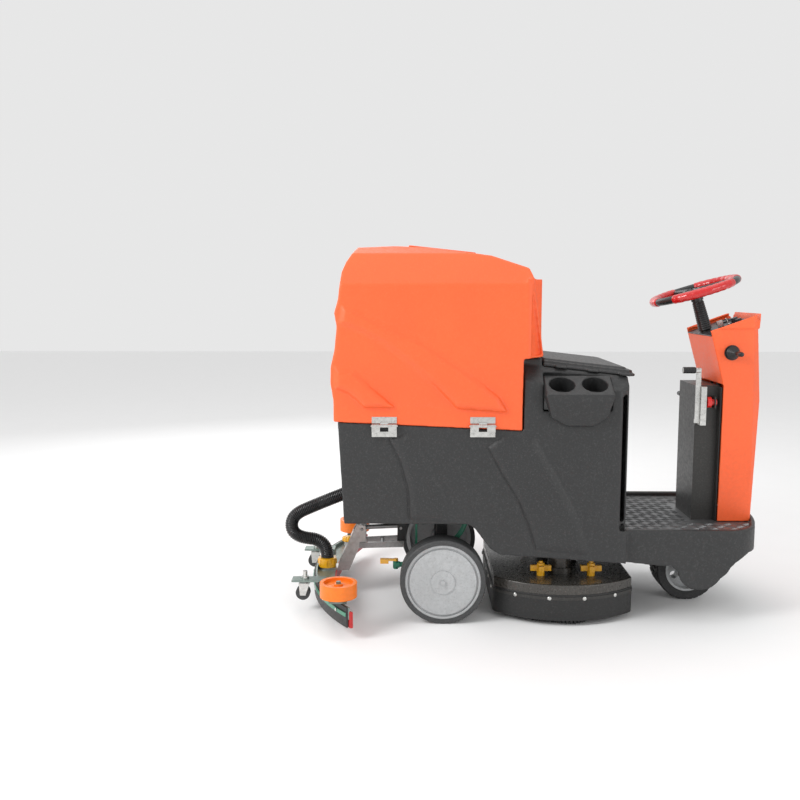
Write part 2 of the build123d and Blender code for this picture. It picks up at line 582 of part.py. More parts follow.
CONDUIT = [(664, -150, 205), (726, -120, 196), (752, -46, 182), (752, 40, 172), (724, 112, 180),
           (652, 120, 200)]
with BuildPart() as motor_conduit:
    with BuildLine() as route:
        FilletPolyline(*CONDUIT, radius=26)
    with BuildSketch(Plane(route.line @ 0, z_dir=route.line % 0)) as bore:
        Circle(6)
    sweep(bore.sketch, path=route.line)
    rod((668, -149, 205), (640, -150, 200), 7)
    rod((653, 124, 200), (640, 76, 200), 7)
save(motor_conduit.part, "motor_conduit")

# ---------------------------------------------------------------- wheels
with BuildPart() as front_rim:
    rod((FRONT_X, -58, FRONT_R), (FRONT_X, 58, FRONT_R), 80)
    for y0, y1 in ((-59, -22), (22, 59)):
        rod((FRONT_X, y0, FRONT_R), (FRONT_X, y1, FRONT_R), 72, Mode.SUBTRACT)
        rod((FRONT_X, y0, FRONT_R), (FRONT_X, y1, FRONT_R), 26)
    for k in range(5):
        a = 2 * pi * k / 5
        x, z = FRONT_X + 48 * cos(a), FRONT_R + 48 * sin(a)
        rod((x, -60, z), (x, 60, z), 15, Mode.SUBTRACT)
    rod((FRONT_X, -62, FRONT_R), (FRONT_X, 62, FRONT_R), 10 + RUN, Mode.SUBTRACT)
save(front_rim.part, "front_rim")

with BuildPart() as front_tyres:
    for y0, y1 in ((-FRONT_HW, -2), (2, FRONT_HW)):
        with BuildSketch(Plane.XZ.offset(-y1)) as ring:
            with Locations((FRONT_X, FRONT_R)):
                Circle(FRONT_R)
                Circle(80, mode=Mode.SUBTRACT)
        extrude(ring.sketch, amount=y1 - y0)
    for k in range(24):
        a = 2 * pi * (k + 0.5) / 24
        x, z = FRONT_X + FRONT_R * cos(a), FRONT_R + FRONT_R * sin(a)
        with Locations(Location((x, 0, z), (0, -degrees(a), 0))):
            Box(6, 28, 3, mode=Mode.SUBTRACT)
save(front_tyres.part, "front_tyres")

for name, s in (("right", -1), ("left", 1)):
    y_in, y_out = s * REAR_Y[0], s * REAR_Y[1]
    with BuildPart() as rear_rim:
        rod((REAR_X, y_in, REAR_R), (REAR_X, y_out - s * 3, REAR_R), 132)
        rod((REAR_X, y_in - s, REAR_R), (REAR_X, y_in + s * 45, REAR_R), 118, Mode.SUBTRACT)
        rod((REAR_X, y_out - s * 9, REAR_R), (REAR_X, y_out, REAR_R), 124, Mode.SUBTRACT)
        rod((REAR_X, y_out - s * 10, REAR_R), (REAR_X, y_out - s * 2, REAR_R), 116.5)
        rod((REAR_X, y_in, REAR_R), (REAR_X, y_out - s * 12, REAR_R), 32)
        rod((REAR_X, y_in - s, REAR_R), (REAR_X, s * 318.5, REAR_R), 15 + RUN, Mode.SUBTRACT)
        rod((REAR_X, y_out - s * 3, REAR_R), (REAR_X, y_out + s * 1.5, REAR_R), 41.5)
        rod((REAR_X, y_out, REAR_R), (REAR_X, y_out + s * 8, REAR_R), 8)
    save(rear_rim.part, f"rear_rim_{name}")
    with BuildPart() as rear_tyre:
        with BuildSketch(Plane.XZ.offset(-max(y_in, y_out))) as ring:
            with Locations((REAR_X, REAR_R)):
                Circle(REAR_R)
                Circle(132, mode=Mode.SUBTRACT)
        extrude(ring.sketch, amount=REAR_Y[1] - REAR_Y[0])
        chamfer(rear_tyre.edges().filter_by(GeomType.CIRCLE).sort_by(SortBy.RADIUS)[-2:], 5)
    save(rear_tyre.part, f"rear_tyre_{name}")

# ---------------------------------------------------------------- brush deck
LINK_Y = 53.0
with BuildPart() as deck_lower_links:
    for s in (1, -1):
        side([(LINK_X0 + 9, LINK_LOW - 9), (LINK_X0 + 9, LINK_LOW + 9),
              (LINK_X1 - 9, LINK_LOW - LINK_DROP + 9), (LINK_X1 - 9, LINK_LOW - LINK_DROP - 9)],
             s * 60.5 - 3, s * 60.5 + 3)
    for x, z in ((LINK_X0, LINK_LOW), (LINK_X1, LINK_LOW - LINK_DROP)):
        rod((x, -63, z), (x, 63, z), 6)
    rod((255, -63, LINK_LOW - 15), (255, 63, LINK_LOW - 15), 8)
save(deck_lower_links.part, "deck_lower_links")

with BuildPart() as deck_upper_links:
    for s in (1, -1):
        side([(LINK_X0 + 9, LINK_UP - 9), (LINK_X0 + 9, LINK_UP + 9),
              (LINK_X1 - 9, LINK_UP - LINK_DROP + 9), (LINK_X1 - 9, LINK_UP - LINK_DROP - 9)],
             s * 44 - 4, s * 44 + 4)
    for x, z in ((LINK_X0, LINK_UP), (LINK_X1, LINK_UP - LINK_DROP)):
        rod((x, -57, z), (x, 57, z), 6)
save(deck_upper_links.part, "deck_upper_links")

with BuildPart() as deck_cover:
    deck_plan(0, 96, 146)
    deck_plan(6, 90, 140, Mode.SUBTRACT)
    for s in (1, -1):
        side([(155, 140), (170, 226), (190, 226), (205, 140)], s * LINK_Y - 3, s * LINK_Y + 3)
        rod((LINK_X1, s * LINK_Y - 5, LINK_LOW - LINK_DROP),
            (LINK_X1, s * LINK_Y + 5, LINK_LOW - LINK_DROP), 6 + RUN, Mode.SUBTRACT)
        rod((LINK_X1, s * LINK_Y - 5, LINK_UP - LINK_DROP),
            (LINK_X1, s * LINK_Y + 5, LINK_UP - LINK_DROP), 6.8, Mode.SUBTRACT)
        rod((BRUSH_X, s * BRUSH_Y, 130), (BRUSH_X, s * BRUSH_Y, 150), 12, Mode.SUBTRACT)
save(deck_cover.part, "deck_cover")

with BuildPart() as deck_skirt:
    deck_plan(-3, 20, 112)
    deck_plan(0, 90, 113, Mode.SUBTRACT)
    deck_plan(6, 10, 91, Mode.SUBTRACT)
    for a in (-38, -12, 12, 38, 142, 168, 192, 218):
        t = radians(a - 90)
        x, y = BRUSH_X + (DECK_R + 2) * cos(t), (DECK_R + 2) * sin(t)
        if abs(x - BRUSH_X) < DECK_HX:
            rod((x, y, 70), (x + 5 * cos(t), y + 5 * sin(t), 70), 6)
save(deck_skirt.part, "deck_skirt")

with BuildPart() as brush_motors:
    for s in (1, -1):
        y = s * BRUSH_Y
        rod((BRUSH_X, y, 146), (BRUSH_X, y, 166), 50)
        rod((BRUSH_X, y, 166), (BRUSH_X, y, 232), 42)
        rod((BRUSH_X, y, 68), (BRUSH_X, y, 146), 10)
save(brush_motors.part, "brush_motors")

with BuildPart() as wing_knobs:
    for x in (46, 226):
        for y in (-225, 225):
            rod((x, y, 146), (x, y, 192), 14)
            rod((x, y, 190), (x, y, 199), 8)
            block(x - 37, x + 37, y - 7, y + 7, 163, 183)
            block(x - 9, x + 9, y - 24, y + 24, 163, 183)
save(wing_knobs.part, "wing_knobs")

for name, s in (("right", -1), ("left", 1)):
    y = s * BRUSH_Y
    with BuildPart() as brush:
        rod((BRUSH_X, y, 50), (BRUSH_X, y, 72), BRUSH_R - 4)
        rod((BRUSH_X, y, 2), (BRUSH_X, y, 50), BRUSH_R)
        rod((BRUSH_X, y, 1), (BRUSH_X, y, 50), 72, Mode.SUBTRACT)
        rod((BRUSH_X, y, 72), (BRUSH_X, y, 92), 30)
        rod((BRUSH_X, y, 60), (BRUSH_X, y, 93), 10 + RUN, Mode.SUBTRACT)
    save(brush.part, f"brush_{name}")

# ---------------------------------------------------------------- squeegee
with BuildPart() as squeegee_lower_link:
    for s in (1, -1):
        side([(ARM_X0 + 12, ARM_LOW - 12), (ARM_X0 + 12, ARM_LOW + 12),
              (ARM_X1 - 9, ARM_LOW - ARM_DROP + 10), (ARM_X1 - 9, ARM_LOW - ARM_DROP - 10)],
             s * 42 - 3, s * 42 + 3)
    for x, z in ((ARM_X0, ARM_LOW), (ARM_X1, ARM_LOW - ARM_DROP)):
        rod((x, -48, z), (x, 48, z), 6)
    rod((-530, -44, ARM_LOW - 3), (-530, 44, ARM_LOW - 3), 7)
save(squeegee_lower_link.part, "squeegee_lower_link")

with BuildPart() as squeegee_upper_link:
    rod((ARM_X0, 0, ARM_UP), (ARM_X1, 0, ARM_UP - ARM_DROP), 9)
    for x, z in ((ARM_X0, ARM_UP), (ARM_X1, ARM_UP - ARM_DROP)):
        rod((x, -14, z), (x, 14, z), 14)
        rod((x, -44, z), (x, 44, z), 5)
save(squeegee_upper_link.part, "squeegee_upper_link")

with BuildPart() as squeegee_carrier:
    for s in (1, -1):
        side([(-592, 188), (-592, 274), (-622, 280), (-640, 250), (-690, 140), (-700, 101),
              (-655, 101), (-618, 188)], s * 35 - 3, s * 35 + 3)
        rod((ARM_X1, s * 35 - 5, ARM_LOW - ARM_DROP), (ARM_X1, s * 35 + 5, ARM_LOW - ARM_DROP),
            6 + RUN, Mode.SUBTRACT)
        rod((ARM_X1, s * 35 - 5, ARM_UP - ARM_DROP), (ARM_X1, s * 35 + 5, ARM_UP - ARM_DROP),
            5.8, Mode.SUBTRACT)
    side([(-640, 250), (-690, 140), (-700, 107), (-693, 107), (-684, 138), (-634, 248)], -36, 36)
    block(-741, -655, -31, 31, HEAD_Z + 8 + GAP, HEAD_Z + 15)
    rod((CUFF_X, 0, HEAD_Z + 8 + GAP), (CUFF_X, 0, HEAD_Z + 15), 33)
    rod((CUFF_X, 0, 90), (CUFF_X, 0, 130), 26 + RUN, Mode.SUBTRACT)
    rod((-664, 0, 190), (-664, 0, 205), 12)
    rod((-664, 0, 160), (-664, 0, 192), 5)
    block(-672, -650, -36, 36, 158, 164)
save(squeegee_carrier.part, "squeegee_carrier")

with BuildPart() as squeegee_head:
    with BuildSketch(Plane.XY.offset(HEAD_Z)) as crescent:
        with BuildLine():
            ThreePointArc((-627, -486), (-781, 0), (-627, 486))
            Line((-627, 486), (-631, 472))
            ThreePointArc((-631, 472), (-707, 0), (-631, -472))
            Line((-631, -472), (-627, -486))
        make_face()
    extrude(crescent.sketch, amount=8)
    arc_band(-781, -627, 486, 6, 72, 114)
    arc_band(-712, -636, 472, 5, 72, HEAD_Z + 8)
    rod((CUFF_X, 0, HEAD_Z), (CUFF_X, 0, HEAD_Z + 15 + GAP), 26)
    rod((CUFF_X, 0, 80), (CUFF_X, 0, 130), 21, Mode.SUBTRACT)
    for s in (1, -1):
        y = s * CASTOR_Y
        block(-748, -728, y - 26, y + 26, HEAD_Z, 121)
        block(-850, -728, y - 26, y + 26, 115, 121)
        rod((CASTOR_X, y, 100), (CASTOR_X, y, 130), 8 + RUN, Mode.SUBTRACT)
        y = s * ROLLER_Y
        block(-660, -648, y - 6, y + 6, HEAD_Z, 121)
        block(-694, -634, y - 24, y + 24, 115, 121)
        rod((ROLLER_X, y, 120), (ROLLER_X, y, 134), 20)
        rod((ROLLER_X, y, 127), (ROLLER_X, y, 186), 8)
save(squeegee_head.part, "squeegee_head")

with BuildPart() as squeegee_blades:
    arc_band(-786.8, -632.8, 486, 5.6, *BLADE_Z)
save(squeegee_blades.part, "squeegee_blades")

with BuildPart() as blade_front:
    arc_band(-706.8, -630.8, 472, 5, BLADE_Z[0], HEAD_Z + 7.5)
save(blade_front.part, "blade_front")

with BuildPart() as suction_cuff:
    rod((CUFF_X, 0, HEAD_Z + 15 + GAP), (CUFF_X, 0, 142), 34)
    rod((CUFF_X, 0, HEAD_Z + 8), (CUFF_X, 0, 143), 21, Mode.SUBTRACT)
    for k in range(8):
        a = 2 * pi * k / 8
        rod((CUFF_X + 34 * cos(a), 34 * sin(a), 118), (CUFF_X + 34 * cos(a), 34 * sin(a), 136), 3)
save(suction_cuff.part, "suction_cuff")

for name, s in (("right", -1), ("left", 1)):
    y = s * CASTOR_Y
    with BuildPart() as castor_fork:
        block(CASTOR_X - 22, CASTOR_X + 16, y - 17, y + 17, 102, 107)
        for e in (1, -1):
            side([(CASTOR_X - 22, 104), (CASTOR_X - 18, 62), (CASTOR_X + 2, 62),
                  (CASTOR_X + 16, 104)], y + e * 15 - 1.8, y + e * 15 + 1.8)
        rod((CASTOR_X, y, 105), (CASTOR_X, y, 150), 8)
        rod((CASTOR_X, y, 121 + GAP), (CASTOR_X, y, 130), 13)
        rod((CASTOR_X - 8, y - 18, 70.5), (CASTOR_X - 8, y + 18, 70.5), 4)
    save(castor_fork.part, f"castor_fork_{name}")
    with BuildPart() as castor_wheel:
        rod((CASTOR_X - 8, y - 12, 70.5), (CASTOR_X - 8, y + 12, 70.5), CASTOR_R)
        rod((CASTOR_X - 8, y - 13, 70.5), (CASTOR_X - 8, y + 13, 70.5), 4 + RUN, Mode.SUBTRACT)
    save(castor_wheel.part, f"castor_wheel_{name}")
    y = s * ROLLER_Y
    with BuildPart() as roller:
        rod((ROLLER_X, y, 135), (ROLLER_X, y, 183), ROLLER_R)
        rod((ROLLER_X, y, 172), (ROLLER_X, y, 184), 50, Mode.SUBTRACT)
        rod((ROLLER_X, y, 135), (ROLLER_X, y, 178), 16)
        rod((ROLLER_X, y, 134), (ROLLER_X, y, 184), 8 + RUN, Mode.SUBTRACT)
    save(roller.part, f"roller_{name}")

# ---------------------------------------------------------------- hose and drain
with BuildPart() as hose_socket:
    low = (-672.0, 0.0, 392.0)
    run = Vector(-cos(radians(21.7)), 0, -sin(radians(21.7)))
    start = Vector(*low)
    rod(tuple(start - run * 60), tuple(start), 25.2)
    rod(tuple(start - run * 9), tuple(start), 31)
    rod(tuple(start - run * 70), tuple(start + run * 1), 20, Mode.SUBTRACT)
save(hose_socket.part, "hose_socket")

HOSE = [(-672, 0, 392), (-785, 0, 347), (-880, 0, 303), (-873, 0, 222), (-741, 0, 209),
        (-741, 0, 142)]


def fillet_radii(points, floor, ceiling):
    """Bend radius at each inner corner, from the shorter run beside it."""
    radii = []
    for before, corner, after in zip(points, points[1:], points[2:]):
        u = Vector(*corner) - Vector(*before)
        v = Vector(*after) - Vector(*corner)
        half = radians(u.get_angle(v)) / 2
        radii.append(max(floor, min(ceiling, 0.45 * min(u.length, v.length) / tan(half))))
    return radii


HOSE_RADII = fillet_radii(HOSE, 28, 1500)
print("suction hose radii", [round(r, 1) for r in HOSE_RADII])
with BuildPart() as suction_hose:
    with BuildLine() as route:
        FilletPolyline(*HOSE, radius=HOSE_RADII)
    with BuildSketch(Plane(route.line @ 0, z_dir=route.line % 0)) as bore:
        Circle(HOSE_R)
    sweep(bore.sketch, path=route.line)
save(suction_hose.part, "suction_hose")
hose_length = sum(e.length for e in route.edges())
print("suction hose length", round(hose_length), "volume over section times length",
      round(suction_hose.part.volume / (pi * HOSE_R**2 * hose_length), 4))

DRAIN = [(-462, -200, 175), (-385, -200, 178), (-320, -200, 215), (-240, -200, 290),
         (-215, -200, 352)]
DRAIN_RADII = fillet_radii(DRAIN, 40, 400)
print("drain hose radii", [round(r, 1) for r in DRAIN_RADII])
with BuildPart() as drain_line:
    with BuildLine() as route:
        FilletPolyline(*DRAIN, radius=DRAIN_RADII)
    with BuildSketch(Plane(route.line @ 0, z_dir=route.line % 0)) as bore:
        Circle(9)
    sweep(bore.sketch, path=route.line)
    end = route.line @ 1
    rod((end.X, end.Y, 340), (end.X, end.Y, SILL), 13)
    rod((-484, -200, 175), (-460, -200, 175), 12)
    rod((-474, -200, 160), (-474, -200, 189), 9)
    block(-404, -396, -214, -170, 168, 186)
    block(-404, -396, -178, -170, 168, 345)
save(drain_line.part, "drain_line")

with BuildPart() as drain_handle:
    rod((-474, -200, 189 + GAP), (-474, -200, 197), 9)
    block(-530, -474, -207, -193, 189 + GAP, 196)
    block(-530, -500, -210, -190, 180, 196)
save(drain_handle.part, "drain_handle")

# ---------------------------------------------------------------- controls
with BuildPart() as drive_stalk:
    x, y, z = STALK
    rod((x, y + 1.5, z), (x, y - 102, z), 5)
    for k in range(5):
        rod((x, y - 5 - 8 * k, z), (x, y - 10 - 8 * k, z), 24 - 3.2 * k)
        rod((x, y - 5 - 8 * k, z), (x, y - 13 - 8 * k, z), 19 - 3 * k)
    rod((x, y - 62, z), (x, y - 102, z), 9)
save(drive_stalk.part, "drive_stalk")

with BuildPart() as squeegee_lever:
    block(607, 624.6, -124, -118, 683, 882)
    rod((631, -126.6, 690), (631, -107.4, 690), 9)
    block(607, 631, -124, -112, 683, 697)
    rod((631, -135, 690), (631, -100, 690), 5 + RUN, Mode.SUBTRACT)
    rod((622, -121, 875), (559, -121, 875), 10)
save(squeegee_lever.part, "squeegee_lever")

with BuildPart() as brush_lever:
    rod((646, 60, 754), (646, 196, 754), 6)
    rod((646, 186, 754), (646, 216, 754), 9)
    block(629, 663, 84, 95 - GAP, 742, 766)
save(brush_lever.part, "brush_lever")

with BuildPart() as key:
    rod(on_panel(8, -72, -8), on_panel(8, -72, 10), 3.2)
    prism(Plane(origin=on_panel(8, -72, 8.4), x_dir=(cos(PANEL_SLOPE), 0, sin(PANEL_SLOPE)),
                z_dir=(-sin(PANEL_SLOPE), 0, cos(PANEL_SLOPE))),
          [(-10, -1.5), (10, -1.5), (10, 1.5), (-10, 1.5)], 22)
save(key.part, "key")

with BuildPart() as toggle:
    with Locations(Location(on_panel(42, -58, 2))):
        Sphere(6.1)
    rod(on_panel(42, -58, 2), on_panel(37, -58, 26), 2.2)
    with Locations(Location(on_panel(37, -58, 26))):
        Sphere(3.4)
save(toggle.part, "toggle")

with BuildPart() as e_stop:
    rod((662, -121, 759), (648, -121, 759), 19.5)
    rod((682, -121, 759), (660, -121, 759), 12)
save(e_stop.part, "e_stop")
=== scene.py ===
"""Visual model of a ride-on floor cleaning machine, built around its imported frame.

Every length is in metres. X runs from the squeegee to the nose, Y to the driver's left and
Z up; the machine stands on Z = 0.
"""

from __future__ import annotations

import json
import logging
from dataclasses import dataclass, field
from enum import Enum
from math import asin, cos, pi, radians, sin
from typing import Callable, Sequence

import bmesh
import bpy
import numpy as np
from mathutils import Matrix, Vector

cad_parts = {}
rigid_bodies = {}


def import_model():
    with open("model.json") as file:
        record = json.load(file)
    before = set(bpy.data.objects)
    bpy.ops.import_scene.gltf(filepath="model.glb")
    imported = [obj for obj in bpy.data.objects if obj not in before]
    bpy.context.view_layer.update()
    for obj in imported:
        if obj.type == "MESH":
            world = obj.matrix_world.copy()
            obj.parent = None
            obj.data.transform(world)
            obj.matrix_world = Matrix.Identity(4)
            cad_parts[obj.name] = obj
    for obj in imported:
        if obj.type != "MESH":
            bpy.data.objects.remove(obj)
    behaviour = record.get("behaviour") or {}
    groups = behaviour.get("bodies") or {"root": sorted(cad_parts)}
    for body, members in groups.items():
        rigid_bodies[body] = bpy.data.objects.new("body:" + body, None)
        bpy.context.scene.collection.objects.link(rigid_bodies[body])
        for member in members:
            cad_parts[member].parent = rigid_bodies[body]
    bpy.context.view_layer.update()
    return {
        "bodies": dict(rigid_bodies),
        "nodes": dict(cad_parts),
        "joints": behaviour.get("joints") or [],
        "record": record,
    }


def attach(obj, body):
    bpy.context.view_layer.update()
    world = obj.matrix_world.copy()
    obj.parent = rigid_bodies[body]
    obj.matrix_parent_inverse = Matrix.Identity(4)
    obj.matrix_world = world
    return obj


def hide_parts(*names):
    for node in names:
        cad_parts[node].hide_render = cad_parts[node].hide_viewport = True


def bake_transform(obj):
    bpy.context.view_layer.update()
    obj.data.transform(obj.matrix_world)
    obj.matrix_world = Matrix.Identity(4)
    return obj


LOG = logging.getLogger("floor_machine")
FAR_AWAY = 9.0  # further than any part of the machine
CARVE_REACH = 0.0035  # how far below a turned piece's largest radius a carve still cuts
Point = tuple[float, float, float]
Colour = tuple[float, float, float]


# ------------------------------------------------------------------ finishes
class Surface(Enum):
    """The family of fine relief that a finish has."""

    MOULDED = "moulded"
    RUBBER = "rubber"
    PAINT = "paint"
    BRUSHED = "brushed"
    CAST = "cast"


@dataclass(frozen=True)
class Finish:
    """One real finish: its colour, gloss, fine relief and wear."""

    name: str
    colour: Colour
    roughness: float
    surface: Surface
    metallic: float = 0.0
    mottle: float = 0.18
    grain: float = 260.0
    relief: float = 0.25
    wear: float = 0.0
    wear_colour: Colour = (0.35, 0.35, 0.35)
    coat: float = 0.0

    def build(self) -> bpy.types.Material:
        """Make the node material once and return it.

        Returns:
            The material with its nodes wired up.
        """
        found = bpy.data.materials.get(self.name)
        if found is not None and found.get("dressed"):
            return found
        material = bpy.data.materials.new(self.name)
        material["dressed"] = True
        material.use_nodes = True
        material.diffuse_color = (*self.colour, 1.0)
        graph = Graph(material.node_tree)
        shader = graph.tree.nodes["Principled BSDF"]
        shader.inputs["Metallic"].default_value = self.metallic
        shader.inputs["Coat Weight"].default_value = self.coat
        shader.inputs["Coat Roughness"].default_value = 0.18
        place = graph.add("ShaderNodeTexCoord").outputs["Object"]
        broad = graph.noise(place, 5.5, 3.0)
        patch = graph.noise(place, 90.0, 5.0)
        tone = graph.blend("MULTIPLY", broad, patch)
        colour = graph.between(
            tone,
            tuple(c * (1.0 - self.mottle) for c in self.colour),
            tuple(min(1.0, c * (1.0 + self.mottle)) for c in self.colour),
            0.1,
            0.5,
        )
        if self.wear > 0.0:
            colour = graph.worn(place, colour, self.wear_colour, self.wear)
        graph.link(colour, shader.inputs["Base Color"])
        spread = 0.05 if self.surface is Surface.BRUSHED else 0.09
        gloss = graph.ramp_value(
            patch, max(0.04, self.roughness - spread), min(1.0, self.roughness + spread)
        )
        graph.link(gloss, shader.inputs["Roughness"])
        graph.link(self._relief(graph, place), shader.inputs["Normal"])
        return material

    def _relief(self, graph: "Graph", place: bpy.types.NodeSocket) -> bpy.types.NodeSocket:
        """Wire up the fine relief of this finish.

        Args:
            graph: The graph to add nodes to.
            place: The coordinate that the relief follows.

        Returns:
            The normal that the shader takes.
        """
        if self.surface is Surface.BRUSHED:
            place = graph.stretched(place, (1.0, 0.06, 1.0))
        fine = graph.noise(place, self.grain, 2.0)
        if self.surface in (Surface.MOULDED, Surface.CAST):
            cells = graph.add("ShaderNodeTexVoronoi")
            cells.inputs["Scale"].default_value = self.grain * 1.3
            graph.link(place, cells.inputs["Vector"])
            fine = graph.blend("MULTIPLY", fine, cells.outputs["Distance"])
        wave = graph.noise(place, 9.0, 1.0)
        first = graph.bump(fine, self.relief, 0.0006)
        return graph.bump(wave, self.relief * 0.5, 0.004, first)


class Graph:
    """A small helper that wires shader nodes."""

    def __init__(self, tree: bpy.types.NodeTree) -> None:
        """Keep the tree that nodes are added to."""
        self.tree = tree

    def add(self, kind: str) -> bpy.types.Node:
        """Add a node of that kind."""
        return self.tree.nodes.new(kind)

    def link(self, source: bpy.types.NodeSocket, target: bpy.types.NodeSocket) -> None:
        """Join two sockets."""
        self.tree.links.new(source, target)

    def noise(
        self, place: bpy.types.NodeSocket, scale: float, detail: float
    ) -> bpy.types.NodeSocket:
        """Add a noise texture.

        Args:
            place: The coordinate that it follows.
            scale: Cells per metre.
            detail: How many finer layers it has.

        Returns:
            Its grey value.
        """
        node = self.add("ShaderNodeTexNoise")
        node.inputs["Scale"].default_value = scale
        node.inputs["Detail"].default_value = detail
        self.link(place, node.inputs["Vector"])
        return node.outputs["Fac"]

    def stretched(self, place: bpy.types.NodeSocket, scale: Point) -> bpy.types.NodeSocket:
        """Stretch a coordinate.

        Args:
            place: The coordinate.
            scale: Its scale along each axis.

        Returns:
            The stretched coordinate.
        """
        node = self.add("ShaderNodeMapping")
        node.inputs["Scale"].default_value = scale
        self.link(place, node.inputs["Vector"])
        return node.outputs["Vector"]

    def blend(
        self, kind: str, a: bpy.types.NodeSocket, b: bpy.types.NodeSocket
    ) -> bpy.types.NodeSocket:
        """Combine two grey values.

        Args:
            kind: The operation.
            a: The first value.
            b: The second value.

        Returns:
            The combined value.
        """
        node = self.add("ShaderNodeMath")
        node.operation = kind
        self.link(a, node.inputs[0])
        self.link(b, node.inputs[1])
        return node.outputs["Value"]

    def between(
        self,
        value: bpy.types.NodeSocket,
        low: Colour,
        high: Colour,
        start: float,
        end: float,
    ) -> bpy.types.NodeSocket:
        """Turn a grey value into a colour between two.

        Args:
            value: The grey value.
            low: The colour at start.
            high: The colour at end.
            start: The value that gives the low colour.
            end: The value that gives the high colour.

        Returns:
            The colour.
        """
        ramp = self.add("ShaderNodeValToRGB")
        ramp.color_ramp.elements[0].position = start
        ramp.color_ramp.elements[1].position = end
        ramp.color_ramp.elements[0].color = (*low, 1.0)
        ramp.color_ramp.elements[1].color = (*high, 1.0)
        self.link(value, ramp.inputs["Fac"])
        return ramp.outputs["Color"]

    def worn(
        self,
        place: bpy.types.NodeSocket,
        colour: bpy.types.NodeSocket,
        wear_colour: Colour,
        amount: float,
    ) -> bpy.types.NodeSocket:
        """Lay fine scuffs and light specks over a colour.

        Args:
            place: The coordinate that the scuffs follow.
            colour: The colour below.
            wear_colour: The colour of a scuff.
            amount: How strongly the scuffs show, from 0 to 1.

        Returns:
            The worn colour.
        """
        streak = self.noise(place, 150.0, 6.0)
        speck = self.noise(place, 420.0, 2.0)
        mask = self.blend("MULTIPLY", streak, speck)
        level = self.add("ShaderNodeMapRange")
        level.inputs["From Min"].default_value = 0.27
        level.inputs["From Max"].default_value = 0.42
        level.inputs["To Max"].default_value = amount
        self.link(mask, level.inputs["Value"])
        mix = self.add("ShaderNodeMix")
        mix.data_type = "RGBA"
        for socket in mix.inputs:
            if socket.name == "B" and socket.type == "RGBA":
                socket.default_value = (*wear_colour, 1.0)
            if socket.name == "A" and socket.type == "RGBA":
                self.link(colour, socket)
        self.link(level.outputs["Result"], mix.inputs["Factor"])
        return next(s for s in mix.outputs if s.type == "RGBA")

    def ramp_value(
        self, value: bpy.types.NodeSocket, low: float, high: float
    ) -> bpy.types.NodeSocket:
        """Spread a grey value between two numbers.

        Args:
            value: The grey value.
            low: The number for a dark value.
            high: The number for a light value.

        Returns:
            The spread value.
        """
        node = self.add("ShaderNodeMapRange")
        node.inputs["From Min"].default_value = 0.3
        node.inputs["From Max"].default_value = 0.7
        node.inputs["To Min"].default_value = low
        node.inputs["To Max"].default_value = high
        self.link(value, node.inputs["Value"])
        return node.outputs["Result"]

    def bump(
        self,
        height: bpy.types.NodeSocket,
        strength: float,
        distance: float,
        below: bpy.types.NodeSocket | None = None,
    ) -> bpy.types.NodeSocket:
        """Turn a height into a normal.

        Args:
            height: The height.
            strength: How strongly it shows.
            distance: The height of a full step, in metres.
            below: A normal that this one adds to.

        Returns:
            The normal.
        """
        node = self.add("ShaderNodeBump")
        node.inputs["Strength"].default_value = strength
        node.inputs["Distance"].default_value = distance
        self.link(height, node.inputs["Height"])
        if below is not None:
            self.link(below, node.inputs["Normal"])
        return node.outputs["Normal"]


ORANGE = Finish(
    "moulded_orange", (0.90, 0.122, 0.028), 0.46, Surface.MOULDED, mottle=0.08, grain=330.0,
    relief=0.22, wear=0.12, wear_colour=(0.95, 0.25, 0.13),
)
CHARCOAL = Finish(
    "moulded_charcoal", (0.021, 0.0215, 0.022), 0.5, Surface.MOULDED, mottle=0.1, grain=420.0,
    relief=0.45, wear=0.55, wear_colour=(0.07, 0.07, 0.07),
)
LID_DARK = Finish(
    "moulded_lid", (0.024, 0.0245, 0.025), 0.46, Surface.MOULDED, mottle=0.2, grain=380.0,
    relief=0.35, wear=0.5, wear_colour=(0.07, 0.07, 0.07),
)
STEEL_DARK = Finish(
    "powder_coat_dark", (0.034, 0.033, 0.031), 0.42, Surface.PAINT, metallic=0.25, grain=900.0,
    relief=0.14, wear=0.25, wear_colour=(0.16, 0.15, 0.14),
)
BLACK_COAT = Finish(
    "powder_coat_black", (0.010, 0.010, 0.011), 0.4, Surface.PAINT, grain=800.0, relief=0.14,
    wear=0.3, wear_colour=(0.09, 0.09, 0.09),
)
TREAD = Finish(
    "tread_aluminium", (0.19, 0.192, 0.195), 0.42, Surface.BRUSHED, metallic=0.7, mottle=0.22,
    grain=520.0, relief=0.16, wear=0.5, wear_colour=(0.11, 0.11, 0.115),
)
BATTERY = Finish("battery_case", (0.03, 0.03, 0.034), 0.5, Surface.MOULDED, relief=0.3)
PANEL = Finish(
    "panel_face", (0.03, 0.03, 0.033), 0.38, Surface.PAINT, grain=700.0, relief=0.2, wear=0.2,
    wear_colour=(0.12, 0.12, 0.12),
)
ZINC = Finish(
    "zinc_plate", (0.62, 0.62, 0.6), 0.3, Surface.BRUSHED, metallic=0.95, mottle=0.2,
    grain=600.0, relief=0.14, wear=0.3, wear_colour=(0.35, 0.34, 0.32),
)
BLACK_PLASTIC = Finish(
    "black_plastic", (0.012, 0.012, 0.013), 0.36, Surface.PAINT, grain=600.0, relief=0.2,
    wear=0.2, wear_colour=(0.06, 0.06, 0.06),
)
GREEN_HOSE = Finish(
    "green_hose", (0.016, 0.17, 0.1), 0.38, Surface.RUBBER, grain=300.0, relief=0.3, wear=0.2,
    wear_colour=(0.1, 0.3, 0.22),
)
HOSE_BLACK = Finish(
    "hose_black", (0.012, 0.012, 0.013), 0.3, Surface.RUBBER, grain=420.0, relief=0.2,
    wear=0.3, wear_colour=(0.07, 0.07, 0.07),
)
